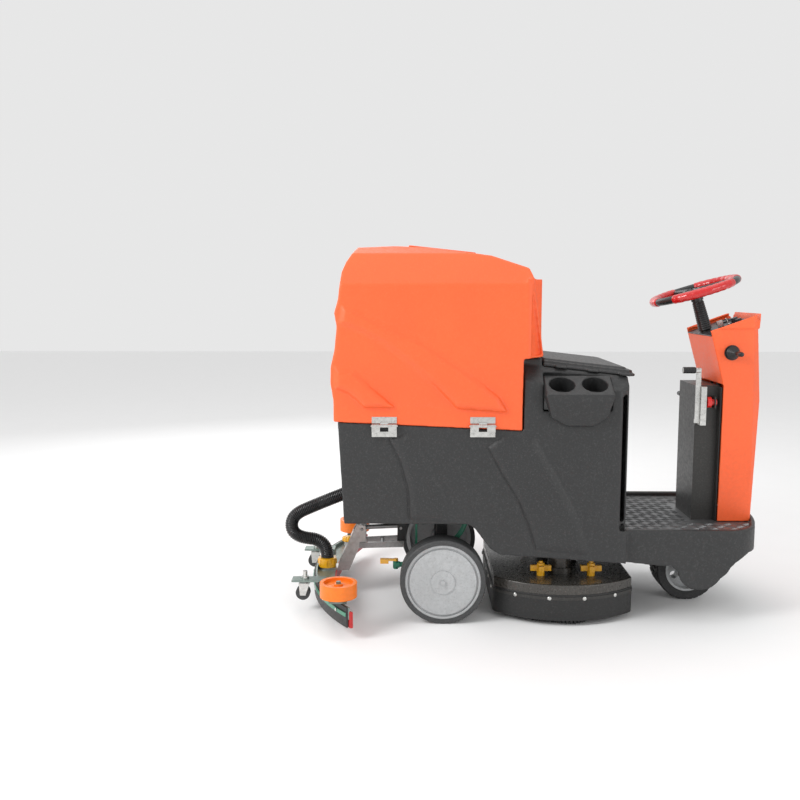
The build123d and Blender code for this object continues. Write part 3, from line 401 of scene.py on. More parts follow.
RED_GRIP = Finish(
    "red_grip", (0.55, 0.008, 0.008), 0.24, Surface.RUBBER, mottle=0.1, grain=240.0,
    relief=0.12, coat=0.5,
)
STEEL = Finish(
    "machined_steel", (0.46, 0.46, 0.45), 0.34, Surface.BRUSHED, metallic=0.95, grain=700.0,
    relief=0.2, wear=0.3, wear_colour=(0.25, 0.24, 0.22),
)
OLIVE = Finish(
    "motor_paint", (0.13, 0.115, 0.075), 0.5, Surface.CAST, grain=340.0, relief=0.5, wear=0.4,
    wear_colour=(0.28, 0.26, 0.2),
)
RIM_BLACK = Finish(
    "wheel_black", (0.018, 0.018, 0.019), 0.32, Surface.RUBBER, grain=700.0, relief=0.25,
    wear=0.2, wear_colour=(0.08, 0.08, 0.08),
)
TYRE_BLACK = Finish(
    "tyre_black", (0.02, 0.02, 0.021), 0.66, Surface.RUBBER, grain=380.0, relief=0.5, wear=0.6,
    wear_colour=(0.085, 0.082, 0.078),
)
TYRE_GREY = Finish(
    "tyre_grey", (0.045, 0.046, 0.047), 0.6, Surface.RUBBER, grain=380.0, relief=0.4, wear=0.5,
    wear_colour=(0.11, 0.11, 0.11),
)
RIM_PALE = Finish(
    "rim_pale", (0.40, 0.41, 0.415), 0.42, Surface.MOULDED, mottle=0.12, grain=480.0,
    relief=0.2, wear=0.45, wear_colour=(0.19, 0.19, 0.19),
)
DECK_PAINT = Finish(
    "deck_paint", (0.05, 0.046, 0.041), 0.3, Surface.PAINT, metallic=0.3, grain=600.0,
    relief=0.12, wear=0.4, wear_colour=(0.2, 0.19, 0.17), coat=0.25,
)
SKIRT_BLACK = Finish(
    "skirt_rubber", (0.012, 0.012, 0.012), 0.5, Surface.RUBBER, grain=320.0, relief=0.4,
    wear=0.35, wear_colour=(0.06, 0.06, 0.058),
)
YELLOW = Finish(
    "knob_yellow", (0.8, 0.40, 0.008), 0.3, Surface.MOULDED, mottle=0.1, grain=500.0,
    relief=0.15, coat=0.3,
)
BRISTLE = Finish(
    "bristle_black", (0.017, 0.017, 0.018), 0.45, Surface.BRUSHED, grain=900.0, relief=0.6,
    wear=0.3, wear_colour=(0.08, 0.08, 0.08),
)
SQUEEGEE_PAINT = Finish(
    "squeegee_paint", (0.2, 0.26, 0.235), 0.36, Surface.PAINT, metallic=0.5, grain=600.0,
    relief=0.14, wear=0.4, wear_colour=(0.42, 0.44, 0.42),
)
BLADE_BLACK = Finish(
    "blade_black", (0.02, 0.02, 0.02), 0.5, Surface.RUBBER, grain=420.0, relief=0.3, wear=0.3,
    wear_colour=(0.08, 0.08, 0.08),
)
BLADE_RED = Finish(
    "blade_red", (0.46, 0.014, 0.016), 0.4, Surface.RUBBER, grain=420.0, relief=0.25, wear=0.2,
    wear_colour=(0.6, 0.12, 0.1),
)
ROLLER = Finish(
    "roller_orange", (0.88, 0.19, 0.008), 0.38, Surface.MOULDED, mottle=0.12, grain=420.0,
    relief=0.2, wear=0.3, wear_colour=(0.55, 0.2, 0.05),
)
TAP = Finish("tap_amber", (0.85, 0.42, 0.03), 0.32, Surface.MOULDED, relief=0.15, coat=0.3)
LINK_PAINT = Finish(
    "link_paint", (0.3, 0.3, 0.3), 0.34, Surface.BRUSHED, metallic=0.8, grain=600.0,
    relief=0.14, wear=0.4, wear_colour=(0.16, 0.15, 0.14),
)
STRAP_GREEN = Finish(
    "strap_green", (0.09, 0.3, 0.2), 0.34, Surface.PAINT, metallic=0.4, grain=500.0,
    relief=0.14, wear=0.35, wear_colour=(0.34, 0.42, 0.38),
)
STOP_RED = Finish("stop_red", (0.62, 0.014, 0.01), 0.3, Surface.MOULDED, relief=0.12, coat=0.4)

CAD_FINISHES: dict[str, Finish] = {
    "chassis_frame": BLACK_COAT, "batteries": BATTERY, "column_frame": STEEL_DARK,
    "deck_plate": TREAD, "instrument_panel": PANEL, "lever_bracket": ZINC,
    "stalk_base": BLACK_PLASTIC, "fixed_hinge_leaves": ZINC, "tank_hinge_leaves": ZINC,
    "steering_chain": STEEL, "drain_line": GREEN_HOSE, "hose_socket": BLACK_PLASTIC,
    "wheel_rim": RIM_BLACK, "wheel_grips": RED_GRIP, "lower_shaft": STEEL,
    "drive_fork": STEEL_DARK, "drive_motor": OLIVE, "motor_conduit": ZINC,
    "front_rim": RIM_PALE, "rear_rim_right": RIM_PALE, "rear_rim_left": RIM_PALE,
    "tank_handle": BLACK_PLASTIC, "deck_lower_links": LINK_PAINT,
    "deck_upper_links": LINK_PAINT, "brush_motors": DECK_PAINT, "wing_knobs": YELLOW,
    "squeegee_lower_link": LINK_PAINT, "squeegee_upper_link": LINK_PAINT,
    "squeegee_carrier": STEEL, "squeegee_head": SQUEEGEE_PAINT,
    "squeegee_blades": BLADE_BLACK, "blade_front": BLADE_RED, "suction_cuff": YELLOW,
    "castor_fork_right": ZINC, "castor_fork_left": ZINC, "castor_wheel_right": TYRE_GREY,
    "castor_wheel_left": TYRE_GREY, "roller_right": ROLLER, "roller_left": ROLLER,
    "squeegee_lever": ZINC, "brush_lever": BLACK_PLASTIC, "key": ZINC, "toggle": ZINC,
    "e_stop": STOP_RED, "drain_handle": TAP,
}


# ------------------------------------------------------------------ mesh helpers
def dress(piece: bpy.types.Object, finish: Finish) -> None:
    """Give every face of a piece one finish.

    Args:
        piece: The object.
        finish: Its finish.
    """
    material = finish.build()
    if piece.data.materials:
        for index in range(len(piece.data.materials)):
            piece.data.materials[index] = material
    else:
        piece.data.materials.append(material)


def make_object(
    name: str, points: Sequence[Point], faces: Sequence[Sequence[int]], smooth: bool = True
) -> bpy.types.Object:
    """Make a mesh object from points and faces.

    Args:
        name: The object's name.
        points: Its corners.
        faces: The corners of each face.
        smooth: Whether its faces are shaded smooth below 35 degrees.

    Returns:
        The object, in the scene.
    """
    mesh = bpy.data.meshes.new(name)
    mesh.from_pydata([tuple(p) for p in points], [], [list(f) for f in faces])
    sheet = bmesh.new()
    sheet.from_mesh(mesh)
    bmesh.ops.remove_doubles(sheet, verts=sheet.verts, dist=1e-6)
    bmesh.ops.recalc_face_normals(sheet, faces=sheet.faces)
    sheet.to_mesh(mesh)
    sheet.free()
    if smooth:
        mesh.shade_smooth()
        mesh.set_sharp_from_angle(angle=radians(35))
    piece = bpy.data.objects.new(name, mesh)
    bpy.context.scene.collection.objects.link(piece)
    return piece


def loft(rings: Sequence[Sequence[Point]], closed: bool, caps: bool) -> tuple[list, list]:
    """Join rings of the same number of points into a skin.

    Args:
        rings: The rings, in order.
        closed: Whether the last ring joins the first.
        caps: Whether the first and last rings are filled.

    Returns:
        The points and the faces.
    """
    count = len(rings[0])
    points = [p for ring in rings for p in ring]
    faces: list[list[int]] = []
    spans = len(rings) if closed else len(rings) - 1
    for i in range(spans):
        j = (i + 1) % len(rings)
        for k in range(count):
            n = (k + 1) % count
            faces.append([i * count + k, i * count + n, j * count + n, j * count + k])
    if caps and not closed:
        faces.append(list(range(count))[::-1])
        faces.append([(len(rings) - 1) * count + k for k in range(count)])
    return points, faces


def add_skin(
    points: list[Point], faces: list[list[int]], skin: tuple[Sequence, Sequence]
) -> None:
    """Add one skin to a growing mesh.

    Args:
        points: The mesh's points so far.
        faces: The mesh's faces so far.
        skin: The points and the faces to add.
    """
    first = len(points)
    points += skin[0]
    faces += [[first + i for i in face] for face in skin[1]]


def take_mesh(piece: bpy.types.Object) -> tuple[list[Point], list[list[int]]]:
    """Take a piece's mesh and delete the piece.

    Args:
        piece: The piece, which is gone afterwards.

    Returns:
        Its points and its faces.
    """
    points = [tuple(v.co) for v in piece.data.vertices]
    faces = [list(f.vertices) for f in piece.data.polygons]
    bpy.data.objects.remove(piece)
    return points, faces


def turned(
    name: str,
    profile: Sequence[tuple[float, float]],
    centre: Point,
    axis: Point,
    segments: int = 96,
    carve: Callable[[float, float], float] | None = None,
) -> bpy.types.Object:
    """Turn a closed profile round an axis.

    Args:
        name: The object's name.
        profile: Its (distance along the axis, radius) pairs, in order.
        centre: A point on the axis.
        axis: The axis direction.
        segments: How many steps one turn has.
        carve: Takes the angle and the distance along the axis, and gives a depth to cut.

    Returns:
        The object.
    """
    along = Vector(axis).normalized()
    side = along.orthogonal().normalized()
    up = along.cross(side)
    rings = []
    top = max(r for _, r in profile)
    for i in range(segments):
        turn = 2 * pi * i / segments
        out = side * cos(turn) + up * sin(turn)
        ring = []
        for offset, radius in profile:
            depth = carve(turn, offset) if carve and radius > top - CARVE_REACH else 0.0
            ring.append(tuple(Vector(centre) + along * offset + out * (radius - depth)))
        rings.append(ring)
    points, faces = loft(rings, True, False)
    return make_object(name, points, faces)


def evaluated_mesh(piece: bpy.types.Object) -> bpy.types.Mesh:
    """Give a new mesh of a piece with its modifiers applied.

    Args:
        piece: The object.

    Returns:
        The mesh, which no object uses yet.
    """
    bpy.context.view_layer.update()
    graph = bpy.context.evaluated_depsgraph_get()
    return bpy.data.meshes.new_from_object(piece.evaluated_get(graph))


@dataclass(frozen=True)
class Relief:
    """A raised panel on both sides of a moulding, with a groove along its rear edge."""

    outline: tuple[tuple[float, float], ...]
    beyond: float
    rise: float
    ease: float
    groove: float = 0.0
    groove_width: float = 0.008

    def apply(self, points: np.ndarray) -> np.ndarray:
        """Push the sides of a moulding out inside the outline.

        Args:
            points: All the points of the moulding.

        Returns:
            The points, moved across the machine.
        """
        side = np.abs(points[:, 1]) > self.beyond
        spots = points[side][:, [0, 2]]
        depth, rearward = self._depth(spots)
        step = np.clip(depth / self.ease, 0.0, 1.0)
        shift = self.rise * step * step * (3.0 - 2.0 * step)
        trough = np.clip(1.0 - np.abs(depth + self.groove_width / 2) / self.groove_width, 0, 1)
        shift = shift - self.groove * trough * trough * (3 - 2 * trough) * rearward
        moved = points.copy()
        across = moved[side, 1]
        moved[side, 1] = across + np.sign(across) * shift
        return moved

    def _depth(self, spots: np.ndarray) -> tuple[np.ndarray, np.ndarray]:
        """Measure how far inside the outline each spot lies.

        Args:
            spots: The (x, z) places.

        Returns:
            The depth, negative outside, and how far the nearest edge faces the rear.
        """
        corners = np.array(self.outline)
        ends = np.roll(corners, -1, axis=0)
        area = np.sum(corners[:, 0] * ends[:, 1] - ends[:, 0] * corners[:, 1])
        nearest = np.full(len(spots), FAR_AWAY)
        rearward = np.zeros(len(spots))
        inside = np.zeros(len(spots), bool)
        for a, b in zip(corners, ends):
            run = b - a
            share = np.clip(((spots - a) @ run) / (run @ run), 0.0, 1.0)
            gap = np.linalg.norm(spots - (a + share[:, None] * run), axis=1)
            facing = -run[1] * np.sign(area) / np.linalg.norm(run)
            closer = gap < nearest
            nearest = np.where(closer, gap, nearest)
            rearward = np.where(closer, max(0.0, facing), rearward)
            over = (a[1] > spots[:, 1]) != (b[1] > spots[:, 1])
            rise = b[1] - a[1] if abs(b[1] - a[1]) > 1e-9 else 1e-9
            cross = a[0] + (spots[:, 1] - a[1]) * (b[0] - a[0]) / rise
            inside ^= over & (spots[:, 0] < cross)
        return np.where(inside, nearest, -nearest), rearward


def rounded_copy(
    name: str,
    node: str,
    frame: dict,
    voxel: float,
    passes: int,
    target: int,
    reshape: Callable[[np.ndarray], np.ndarray] | None = None,
) -> bpy.types.Object:
    """Copy a node's shape into a new piece with the soft edges of a moulding.

    Args:
        name: The piece's name.
        node: The node that it stands for.
        frame: The loaded frame.
        voxel: The size of a remeshing cell.
        passes: How many smoothing passes round its edges.
        target: About how many triangles it ends with.
        reshape: Takes all the points and gives them back with embossing added.

    Returns:
        The piece.
    """
    source = frame["nodes"][node]
    mesh = source.data.copy()
    mesh.transform(source.matrix_world)
    mesh.materials.clear()
    rough = bpy.data.objects.new(name + ".rough", mesh)
    bpy.context.scene.collection.objects.link(rough)
    remesh = rough.modifiers.new("cells", "REMESH")
    remesh.mode = "VOXEL"
    remesh.voxel_size = voxel * 1.0
    smooth = rough.modifiers.new("soft", "SMOOTH")
    smooth.factor = 0.5
    smooth.iterations = passes
    soft = evaluated_mesh(rough)
    if reshape is not None:
        flat = np.empty(3 * len(soft.vertices))
        soft.vertices.foreach_get("co", flat)
        soft.vertices.foreach_set("co", reshape(flat.reshape(-1, 3)).ravel())
    rough.modifiers.clear()
    rough.data = soft
    count = 2 * len(soft.polygons)
    if count > target:
        thin = rough.modifiers.new("thin", "DECIMATE")
        thin.ratio = target / count
    done = evaluated_mesh(rough)
    done.name = name
    bpy.data.objects.remove(rough)
    done.shade_smooth()
    piece = bpy.data.objects.new(name, done)
    bpy.context.scene.collection.objects.link(piece)
    LOG.info("%s: %d faces", name, len(done.polygons))
    return piece


def settle(
    piece: bpy.types.Object, body: str, finish: Finish, nodes: Sequence[str] = ()
) -> bpy.types.Object:
    """Dress a finished piece and hand it to the frame.

    Args:
        piece: The piece.
        body: The body that it rides on.
        finish: Its finish.
        nodes: The CAD nodes that it stands for.

    Returns:
        The piece.
    """
    dress(piece, finish)
    if nodes:
        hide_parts(*nodes)
    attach(piece, body)
    LOG.info("%s rides on %s", piece.name, body)
    return piece


# ------------------------------------------------------------------ camera, light and floor
@dataclass
class Studio:
    """A camera beside the machine, soft lights and a pale floor."""

    camera_at: Point = (-0.410, -3.407, 1.160)
    yaw: float = 0.87
    pitch: float = 6.853
    lens: float = 41.03
    sensor: float = 36.0

    def build(self) -> None:
        """Make the camera, the lights, the floor and the surroundings."""
        self._camera()
        self._light("key", (-3.6, -2.3, 3.0), 1.8, 125.0)
        self._light("fill", (2.9, -2.8, 1.5), 1.8, 26.0)
        self._light("top", (0.0, 0.2, 4.2), 3.6, 34.0)
        self._light("back", (-1.8, 3.4, 2.6), 2.8, 36.0)
        self._floor()
        self._surroundings()

    def _camera(self) -> None:
        """Place the camera and make it the scene's own."""
        yaw, pitch = radians(self.yaw), radians(self.pitch)
        ahead = Vector((-sin(yaw) * cos(pitch), cos(yaw) * cos(pitch), -sin(pitch)))
        data = bpy.data.cameras.new("camera")
        data.lens = self.lens
        data.sensor_width = self.sensor
        camera = bpy.data.objects.new("camera", data)
        camera.location = self.camera_at
        camera.rotation_euler = ahead.to_track_quat("-Z", "Y").to_euler()
        bpy.context.scene.collection.objects.link(camera)
        bpy.context.scene.camera = camera
        bpy.context.scene.view_settings.view_transform = "Standard"

    def _light(self, name: str, at: Point, size: float, power: float) -> None:
        """Add a soft square light that faces the machine.

        Args:
            name: The light's name.
            at: Where it hangs.
            size: The length of its side.
            power: Its power in watts.
        """
        data = bpy.data.lights.new(name, "AREA")
        data.size = size
        data.energy = power
        light = bpy.data.objects.new(name, data)
        light.location = at
        facing = Vector((0.0, 0.0, 0.55)) - Vector(at)
        light.rotation_euler = facing.to_track_quat("-Z", "Y").to_euler()
        bpy.context.scene.collection.objects.link(light)

    def _floor(self) -> None:
        """Lay a wide pale floor."""
        half = 14.0
        floor = make_object(
            "floor",
            [(-half, -half, 0.0), (half, -half, 0.0), (half, half, 0.0), (-half, half, 0.0)],
            [(0, 1, 2, 3)],
        )
        dress(
            floor,
            Finish("floor_pale", (0.9, 0.9, 0.9), 0.8, Surface.PAINT, mottle=0.01, relief=0.02),
        )

    def _surroundings(self) -> None:
        """Fill the surroundings with an even pale light."""
        world = bpy.data.worlds.new("surroundings")
        world.use_nodes = True
        back = world.node_tree.nodes["Background"]
        back.inputs["Color"].default_value = (1.0, 1.0, 1.0, 1.0)
        back.inputs["Strength"].default_value = 0.8
        bpy.context.scene.world = world


# ------------------------------------------------------------------ vacuum hose
@dataclass
class SuctionHose:
    """The corrugated hose from the recovery tank to the squeegee."""

    route: list[Point] = field(
        default_factory=lambda: [
            (-0.672, 0.0, 0.392), (-0.785, 0.0, 0.347), (-0.880, 0.0, 0.303),
            (-0.873, 0.0, 0.222), (-0.741, 0.0, 0.209), (-0.741, 0.0, 0.142),
        ]
    )
    radius: float = 0.025
    pitch: float = 0.0068
    depth: float = 0.0026
    around: int = 36
    bend_start: float = 0.36
    bend_end: float = -0.065

    def line(self) -> list[Vector]:
        """Read close points from the route's own smooth spline.

        Returns:
            The points along the hose's centre line.
        """
        data = bpy.data.curves.new("hose_route", "CURVE")
        data.dimensions = "3D"
        data.resolution_u = 90
        spline = data.splines.new("NURBS")
        spline.points.add(len(self.route) - 1)
        for point, at in zip(spline.points, self.route):
            point.co = (*at, 1.0)
        spline.order_u = 3
        spline.use_endpoint_u = True
        guide = bpy.data.objects.new("hose_route", data)
        bpy.context.scene.collection.objects.link(guide)
        bpy.context.view_layer.update()
        graph = bpy.context.evaluated_depsgraph_get()
        mesh = bpy.data.meshes.new_from_object(guide.evaluated_get(graph))
        points = [v.co.copy() for v in mesh.vertices]
        bpy.data.objects.remove(guide)
        bpy.data.meshes.remove(mesh)
        return points

    def build(self) -> bpy.types.Object:
        """Make the corrugated tube along the line.

        Returns:
            The hose.
        """
        line = self.line()
        lengths = [0.0]
        for a, b in zip(line, line[1:]):
            lengths.append(lengths[-1] + (b - a).length)
        total = lengths[-1]
        steps = int(total / self.pitch) * 6
        rings, at = [], 0
        across = Vector((0.0, 1.0, 0.0))
        for i in range(steps + 1):
            run = total * i / steps
            while at < len(lengths) - 2 and lengths[at + 1] < run:
                at += 1
            a, b = line[at], line[at + 1]
            share = (run - lengths[at]) / max(1e-9, lengths[at + 1] - lengths[at])
            middle = a.lerp(b, share)
            before = line[max(0, at - 2)]
            after = line[min(len(line) - 1, at + 3)]
            ahead = (after - before).normalized()
            up = ahead.cross(across).normalized()
            wave = 0.5 - 0.5 * cos(2 * pi * run / self.pitch)
            radius = self.radius - self.depth * wave * wave
            rings.append(
                [
                    tuple(
                        middle
                        + across * radius * cos(2 * pi * k / self.around)
                        + up * radius * sin(2 * pi * k / self.around)
                    )
                    for k in range(self.around)
                ]
            )
        points, faces = loft(rings, False, True)
        hose = make_object("vacuum_hose", points, faces)
        dress(hose, HOSE_BLACK)
        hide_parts("suction_hose")
        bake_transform(hose)
        LOG.info("vacuum_hose: %.3f m", total)
        return hose


# ------------------------------------------------------------------ mouldings
@dataclass
class Mouldings:
    """The rotomoulded tank, body, covers and cup trays."""

    frame: dict
    hatch_at: Point = (-0.310, 0.0, 1.296)
    hatch_slope: float = 0.108
    hatch_proud: float = 0.0125
    hatch_ease: float = 0.002
    hatch_press: float = 0.85
    band_low: float = 1.022
    band_rise: float = 0.0045
    band_ease: float = 0.005
    cover_front: float = 0.806
    cover_ease: float = 0.006
    cover_side: float = 0.12
    side_ease: float = 0.015
    oval_half: tuple[float, float] = (0.093, 0.047)
    oval_height: float = 0.929
    oval_face: float = 0.80
    oval_rise: float = 0.0018
    oval_groove: float = 0.0042

    def tank_reliefs(self) -> tuple[Relief, ...]:
        """Give the two swept bands on each side of the tank.

        Returns:
            The upper and the lower band.
        """
        upper = (
            (-0.660, 1.049), (-0.592, 1.025), (-0.528, 0.993), (-0.455, 0.941),
            (-0.396, 0.892), (-0.336, 0.842), (-0.262, 0.765), (-0.094, 0.752),
            (-0.124, 0.802), (-0.174, 0.842), (-0.248, 0.896), (-0.327, 0.951),
            (-0.396, 0.995), (-0.518, 1.049), (-0.611, 1.096), (-0.650, 1.110),
        )
        lower = (
            (-0.676, 0.833), (-0.633, 0.818), (-0.603, 0.795), (-0.579, 0.768),
            (-0.475, 0.768), (-0.495, 0.783), (-0.529, 0.813), (-0.568, 0.847),
            (-0.613, 0.887), (-0.676, 0.905),
        )
        return (
            Relief(upper, 0.325, 0.0075, 0.017),
            Relief(lower, 0.325, 0.0065, 0.015),
        )

    def body_reliefs(self) -> tuple[Relief, ...]:
        """Give the two swept panels on each side of the body.

        Returns:
            The rear and the front panel.
        """
        rear = (
            (-0.491, 0.654), (-0.453, 0.576), (-0.426, 0.476), (-0.421, 0.381),
            (-0.283, 0.370), (-0.306, 0.454), (-0.344, 0.543), (-0.388, 0.621),
            (-0.431, 0.672),
        )
        front = (
            (-0.154, 0.626), (-0.104, 0.532), (-0.049, 0.443), (-0.015, 0.365),
            (0.014, 0.275), (0.179, 0.258), (0.189, 0.269), (0.149, 0.387),
            (0.103, 0.477), (0.047, 0.576), (-0.003, 0.659), (-0.106, 0.661),
            (-0.130, 0.646),
        )
        return (
            Relief(rear, 0.334, 0.0045, 0.022, groove=0.006),
            Relief(front, 0.334, 0.0045, 0.022, groove=0.006),
        )

    def _emboss(self, reliefs: Sequence[Relief]) -> Callable[[np.ndarray], np.ndarray]:
        """Join several reliefs into one step.

        Args:
            reliefs: The reliefs.

        Returns:
            The function that adds them all.
        """

        def apply(points: np.ndarray) -> np.ndarray:
            """Add each relief in turn.

            Args:
                points: All the points of the moulding.

            Returns:
                The embossed points.
            """
            for relief in reliefs:
                points = relief.apply(points)
            return points

        return apply

    def _cover_relief(self, points: np.ndarray) -> np.ndarray:
        """Add the cover's lip band and the blank oval on its front face.

        Args:
            points: All the points of the cover.

        Returns:
            The points, with the band and the oval pushed out.
        """
        moved = points.copy()
        across, height = points[:, 1], points[:, 2]
        band = np.clip((height - self.band_low) / self.band_ease, 0.0, 1.0)
        band = band * band * (3 - 2 * band) * self.band_rise
        front = np.clip((points[:, 0] - self.cover_front) / self.cover_ease, 0.0, 1.0)
        edge = np.clip((np.abs(across) - self.cover_side) / self.side_ease, 0, 1)
        moved[:, 0] += band * front
        moved[:, 1] += np.sign(across) * band * edge
        wide, tall = self.oval_half
        spread = np.hypot(across / wide, (height - self.oval_height) / tall)
        ring = np.clip(1.0 - np.abs(spread - 1.03) / 0.075, 0.0, 1.0)
        face = (points[:, 0] > self.oval_face) & (spread < 1.3)
        inner = np.clip((1.0 - spread) / 0.1, 0.0, 1.0)
        oval = self.oval_rise * inner - self.oval_groove * ring * ring
        moved[:, 0] += np.where(face, oval, 0.0)
        return moved

    def _flush_hatch(self, points: np.ndarray) -> np.ndarray:
        """Press the hatch's top down towards the tank's roof.

        Args:
            points: All the points of the hatch.

        Returns:
            The points, with most of what stood above the limit pressed down.
        """
        up = np.array([sin(self.hatch_slope), 0.0, cos(self.hatch_slope)])
        height = (points - np.array(self.hatch_at)) @ up
        extra = np.maximum(0.0, height - self.hatch_proud + self.hatch_ease)
        return points - np.outer(extra * self.hatch_press, up)

    def build(self) -> None:
        """Make each moulding with soft edges and hand it to its body."""
        tank, body = self._emboss(self.tank_reliefs()), self._emboss(self.body_reliefs())
        jobs = (
            ("tank_moulding", "recovery_tank", "tank", ORANGE, "orange_pe", 0.0042, 5, 150000,
             tank),
            ("body_moulding", "body_shell", "chassis", CHARCOAL, "dark_pe", 0.0042, 3, 190000,
             body),
            ("cover_moulding", "column_cover", "chassis", ORANGE, "orange_pe", 0.0034, 2, 90000,
             self._cover_relief),
            ("lid_moulding", "seat_lid", "lid", LID_DARK, "grey_lid", 0.0032, 3, 60000, None),
            ("cup_trays", "cup_holders", "chassis", CHARCOAL, "dark_pe", 0.0028, 3, 70000, None),
            ("hatch_moulding", "tank_hatch", "hatch", ORANGE, "orange_pe", 0.0028, 2, 30000,
             self._flush_hatch),
            ("deck_pressing", "deck_cover", "brush_deck", DECK_PAINT, "deck_grey", 0.003, 2,
             120000, None),
        )
        for name, node, home, finish, slot, voxel, passes, target, reshape in jobs:
            piece = rounded_copy(name, node, self.frame, voxel, passes, target, reshape)
            settle(piece, home, finish, [node])


# ------------------------------------------------------------------ platform
@dataclass
class Platform:
    """The raised lugs of the tread plate and the small buffers on the seat box."""

    top: float = 0.320
    cell: float = 0.034
    lug_length: float = 0.025
    lug_width: float = 0.0036
    lug_height: float = 0.0016
    lugs_per_cell: int = 5
    x_range: tuple[float, float] = (0.333, 0.834)
    half_width: float = 0.284
    nose_x: float = 0.832
    nose_sweep: float = 0.165
    nose_power: float = 4.2
    column_x: float = 0.602
    column_half: float = 0.155
    lug_step: float = 0.19
    lug_reach: float = 0.012
    buffer_x: float = 0.3235
    buffer_y: float = 0.262
    buffer_heights: tuple[float, float] = (0.580, 0.770)

    def build(self) -> None:
        """Make the lugs and the buffers."""
        self._lugs()
        self._buffers()

    def _inside(self, x: float, y: float) -> bool:
        """Say whether a point lies on the plate.

        Args:
            x: The station.
            y: The distance from the middle.

        Returns:
            True if a lug may stand there.
        """
        if not self.x_range[0] < x < self.x_range[1] or abs(y) > self.half_width:
            return False
        if self.column_x < x and abs(y) < self.column_half:
            return False
        sweep = self.nose_sweep * (abs(y) / self.half_width) ** self.nose_power
        return x < self.nose_x - sweep

    def _lugs(self) -> None:
        """Lay cells of five lens-shaped lugs, each cell turned against the next."""
        points: list[Point] = []
        faces: list[list[int]] = []
        rows = int((self.x_range[1] - self.x_range[0]) / self.cell)
        columns = int(self.half_width / self.cell)
        for i in range(rows + 1):
            for j in range(-columns, columns + 1):
                turn = radians(45 if (i + j) % 2 else -45)
                centre = Vector((self.x_range[0] + (i + 0.5) * self.cell, j * self.cell, 0.0))
                along = Vector((cos(turn), sin(turn), 0.0))
                across = Vector((-sin(turn), cos(turn), 0.0))
                for k in range(self.lugs_per_cell):
                    shift = (k - (self.lugs_per_cell - 1) / 2) * self.cell * self.lug_step
                    middle = centre + across * shift
                    ahead = self._inside(middle.x + self.lug_reach, middle.y)
                    behind = self._inside(middle.x - self.lug_reach, middle.y)
                    if ahead and behind:
                        self._lug(points, faces, middle, along, across)
        plate = make_object("tread_lugs", points, faces)
        settle(plate, "chassis", TREAD)

    def _lug(
        self,
        points: list[Point],
        faces: list[list[int]],
        middle: Vector,
        along: Vector,
        across: Vector,
    ) -> None:
        """Add one lens-shaped lug to the growing mesh.

        Args:
            points: The mesh's points so far.
            faces: The mesh's faces so far.
            middle: The lug's centre.
            along: Its long direction.
            across: Its short direction.
        """
        first = len(points)
        steps = 10
        for ring, (share, height) in enumerate(((1.0, -0.0006), (0.96, 0.4), (0.62, 1.0))):
            lift = self.top + (height * self.lug_height if ring else height)
            for n in range(steps):
                t = 2 * pi * n / steps
                p = middle + along * (self.lug_length / 2 * share * cos(t))
                p = p + across * (self.lug_width / 2 * share * sin(t))
                points.append((p.x, p.y, lift))
        for ring in range(2):
            for n in range(steps):
                m = (n + 1) % steps
                a, b = first + ring * steps, first + (ring + 1) * steps
                faces.append([a + n, a + m, b + m, b + n])
        faces.append([first + 2 * steps + n for n in range(steps)])
        faces.append([first + n for n in range(steps)][::-1])

    def _buffers(self) -> None:
        """Make the small domed buffers on the front of the seat box."""
        dome = [(0.0, 0.0001), (0.0, 0.011), (0.004, 0.0105), (0.007, 0.008), (0.009, 0.0001)]
        for side in (-1, 1):
            for row, height in enumerate(self.buffer_heights):
                name = f"seat_buffer_{'left' if side > 0 else 'right'}_{row + 1}"
                place = (self.buffer_x, side * self.buffer_y, height)
                piece = turned(name, dome, place, (1, 0, 0), 32)
                settle(piece, "chassis", BLACK_PLASTIC)


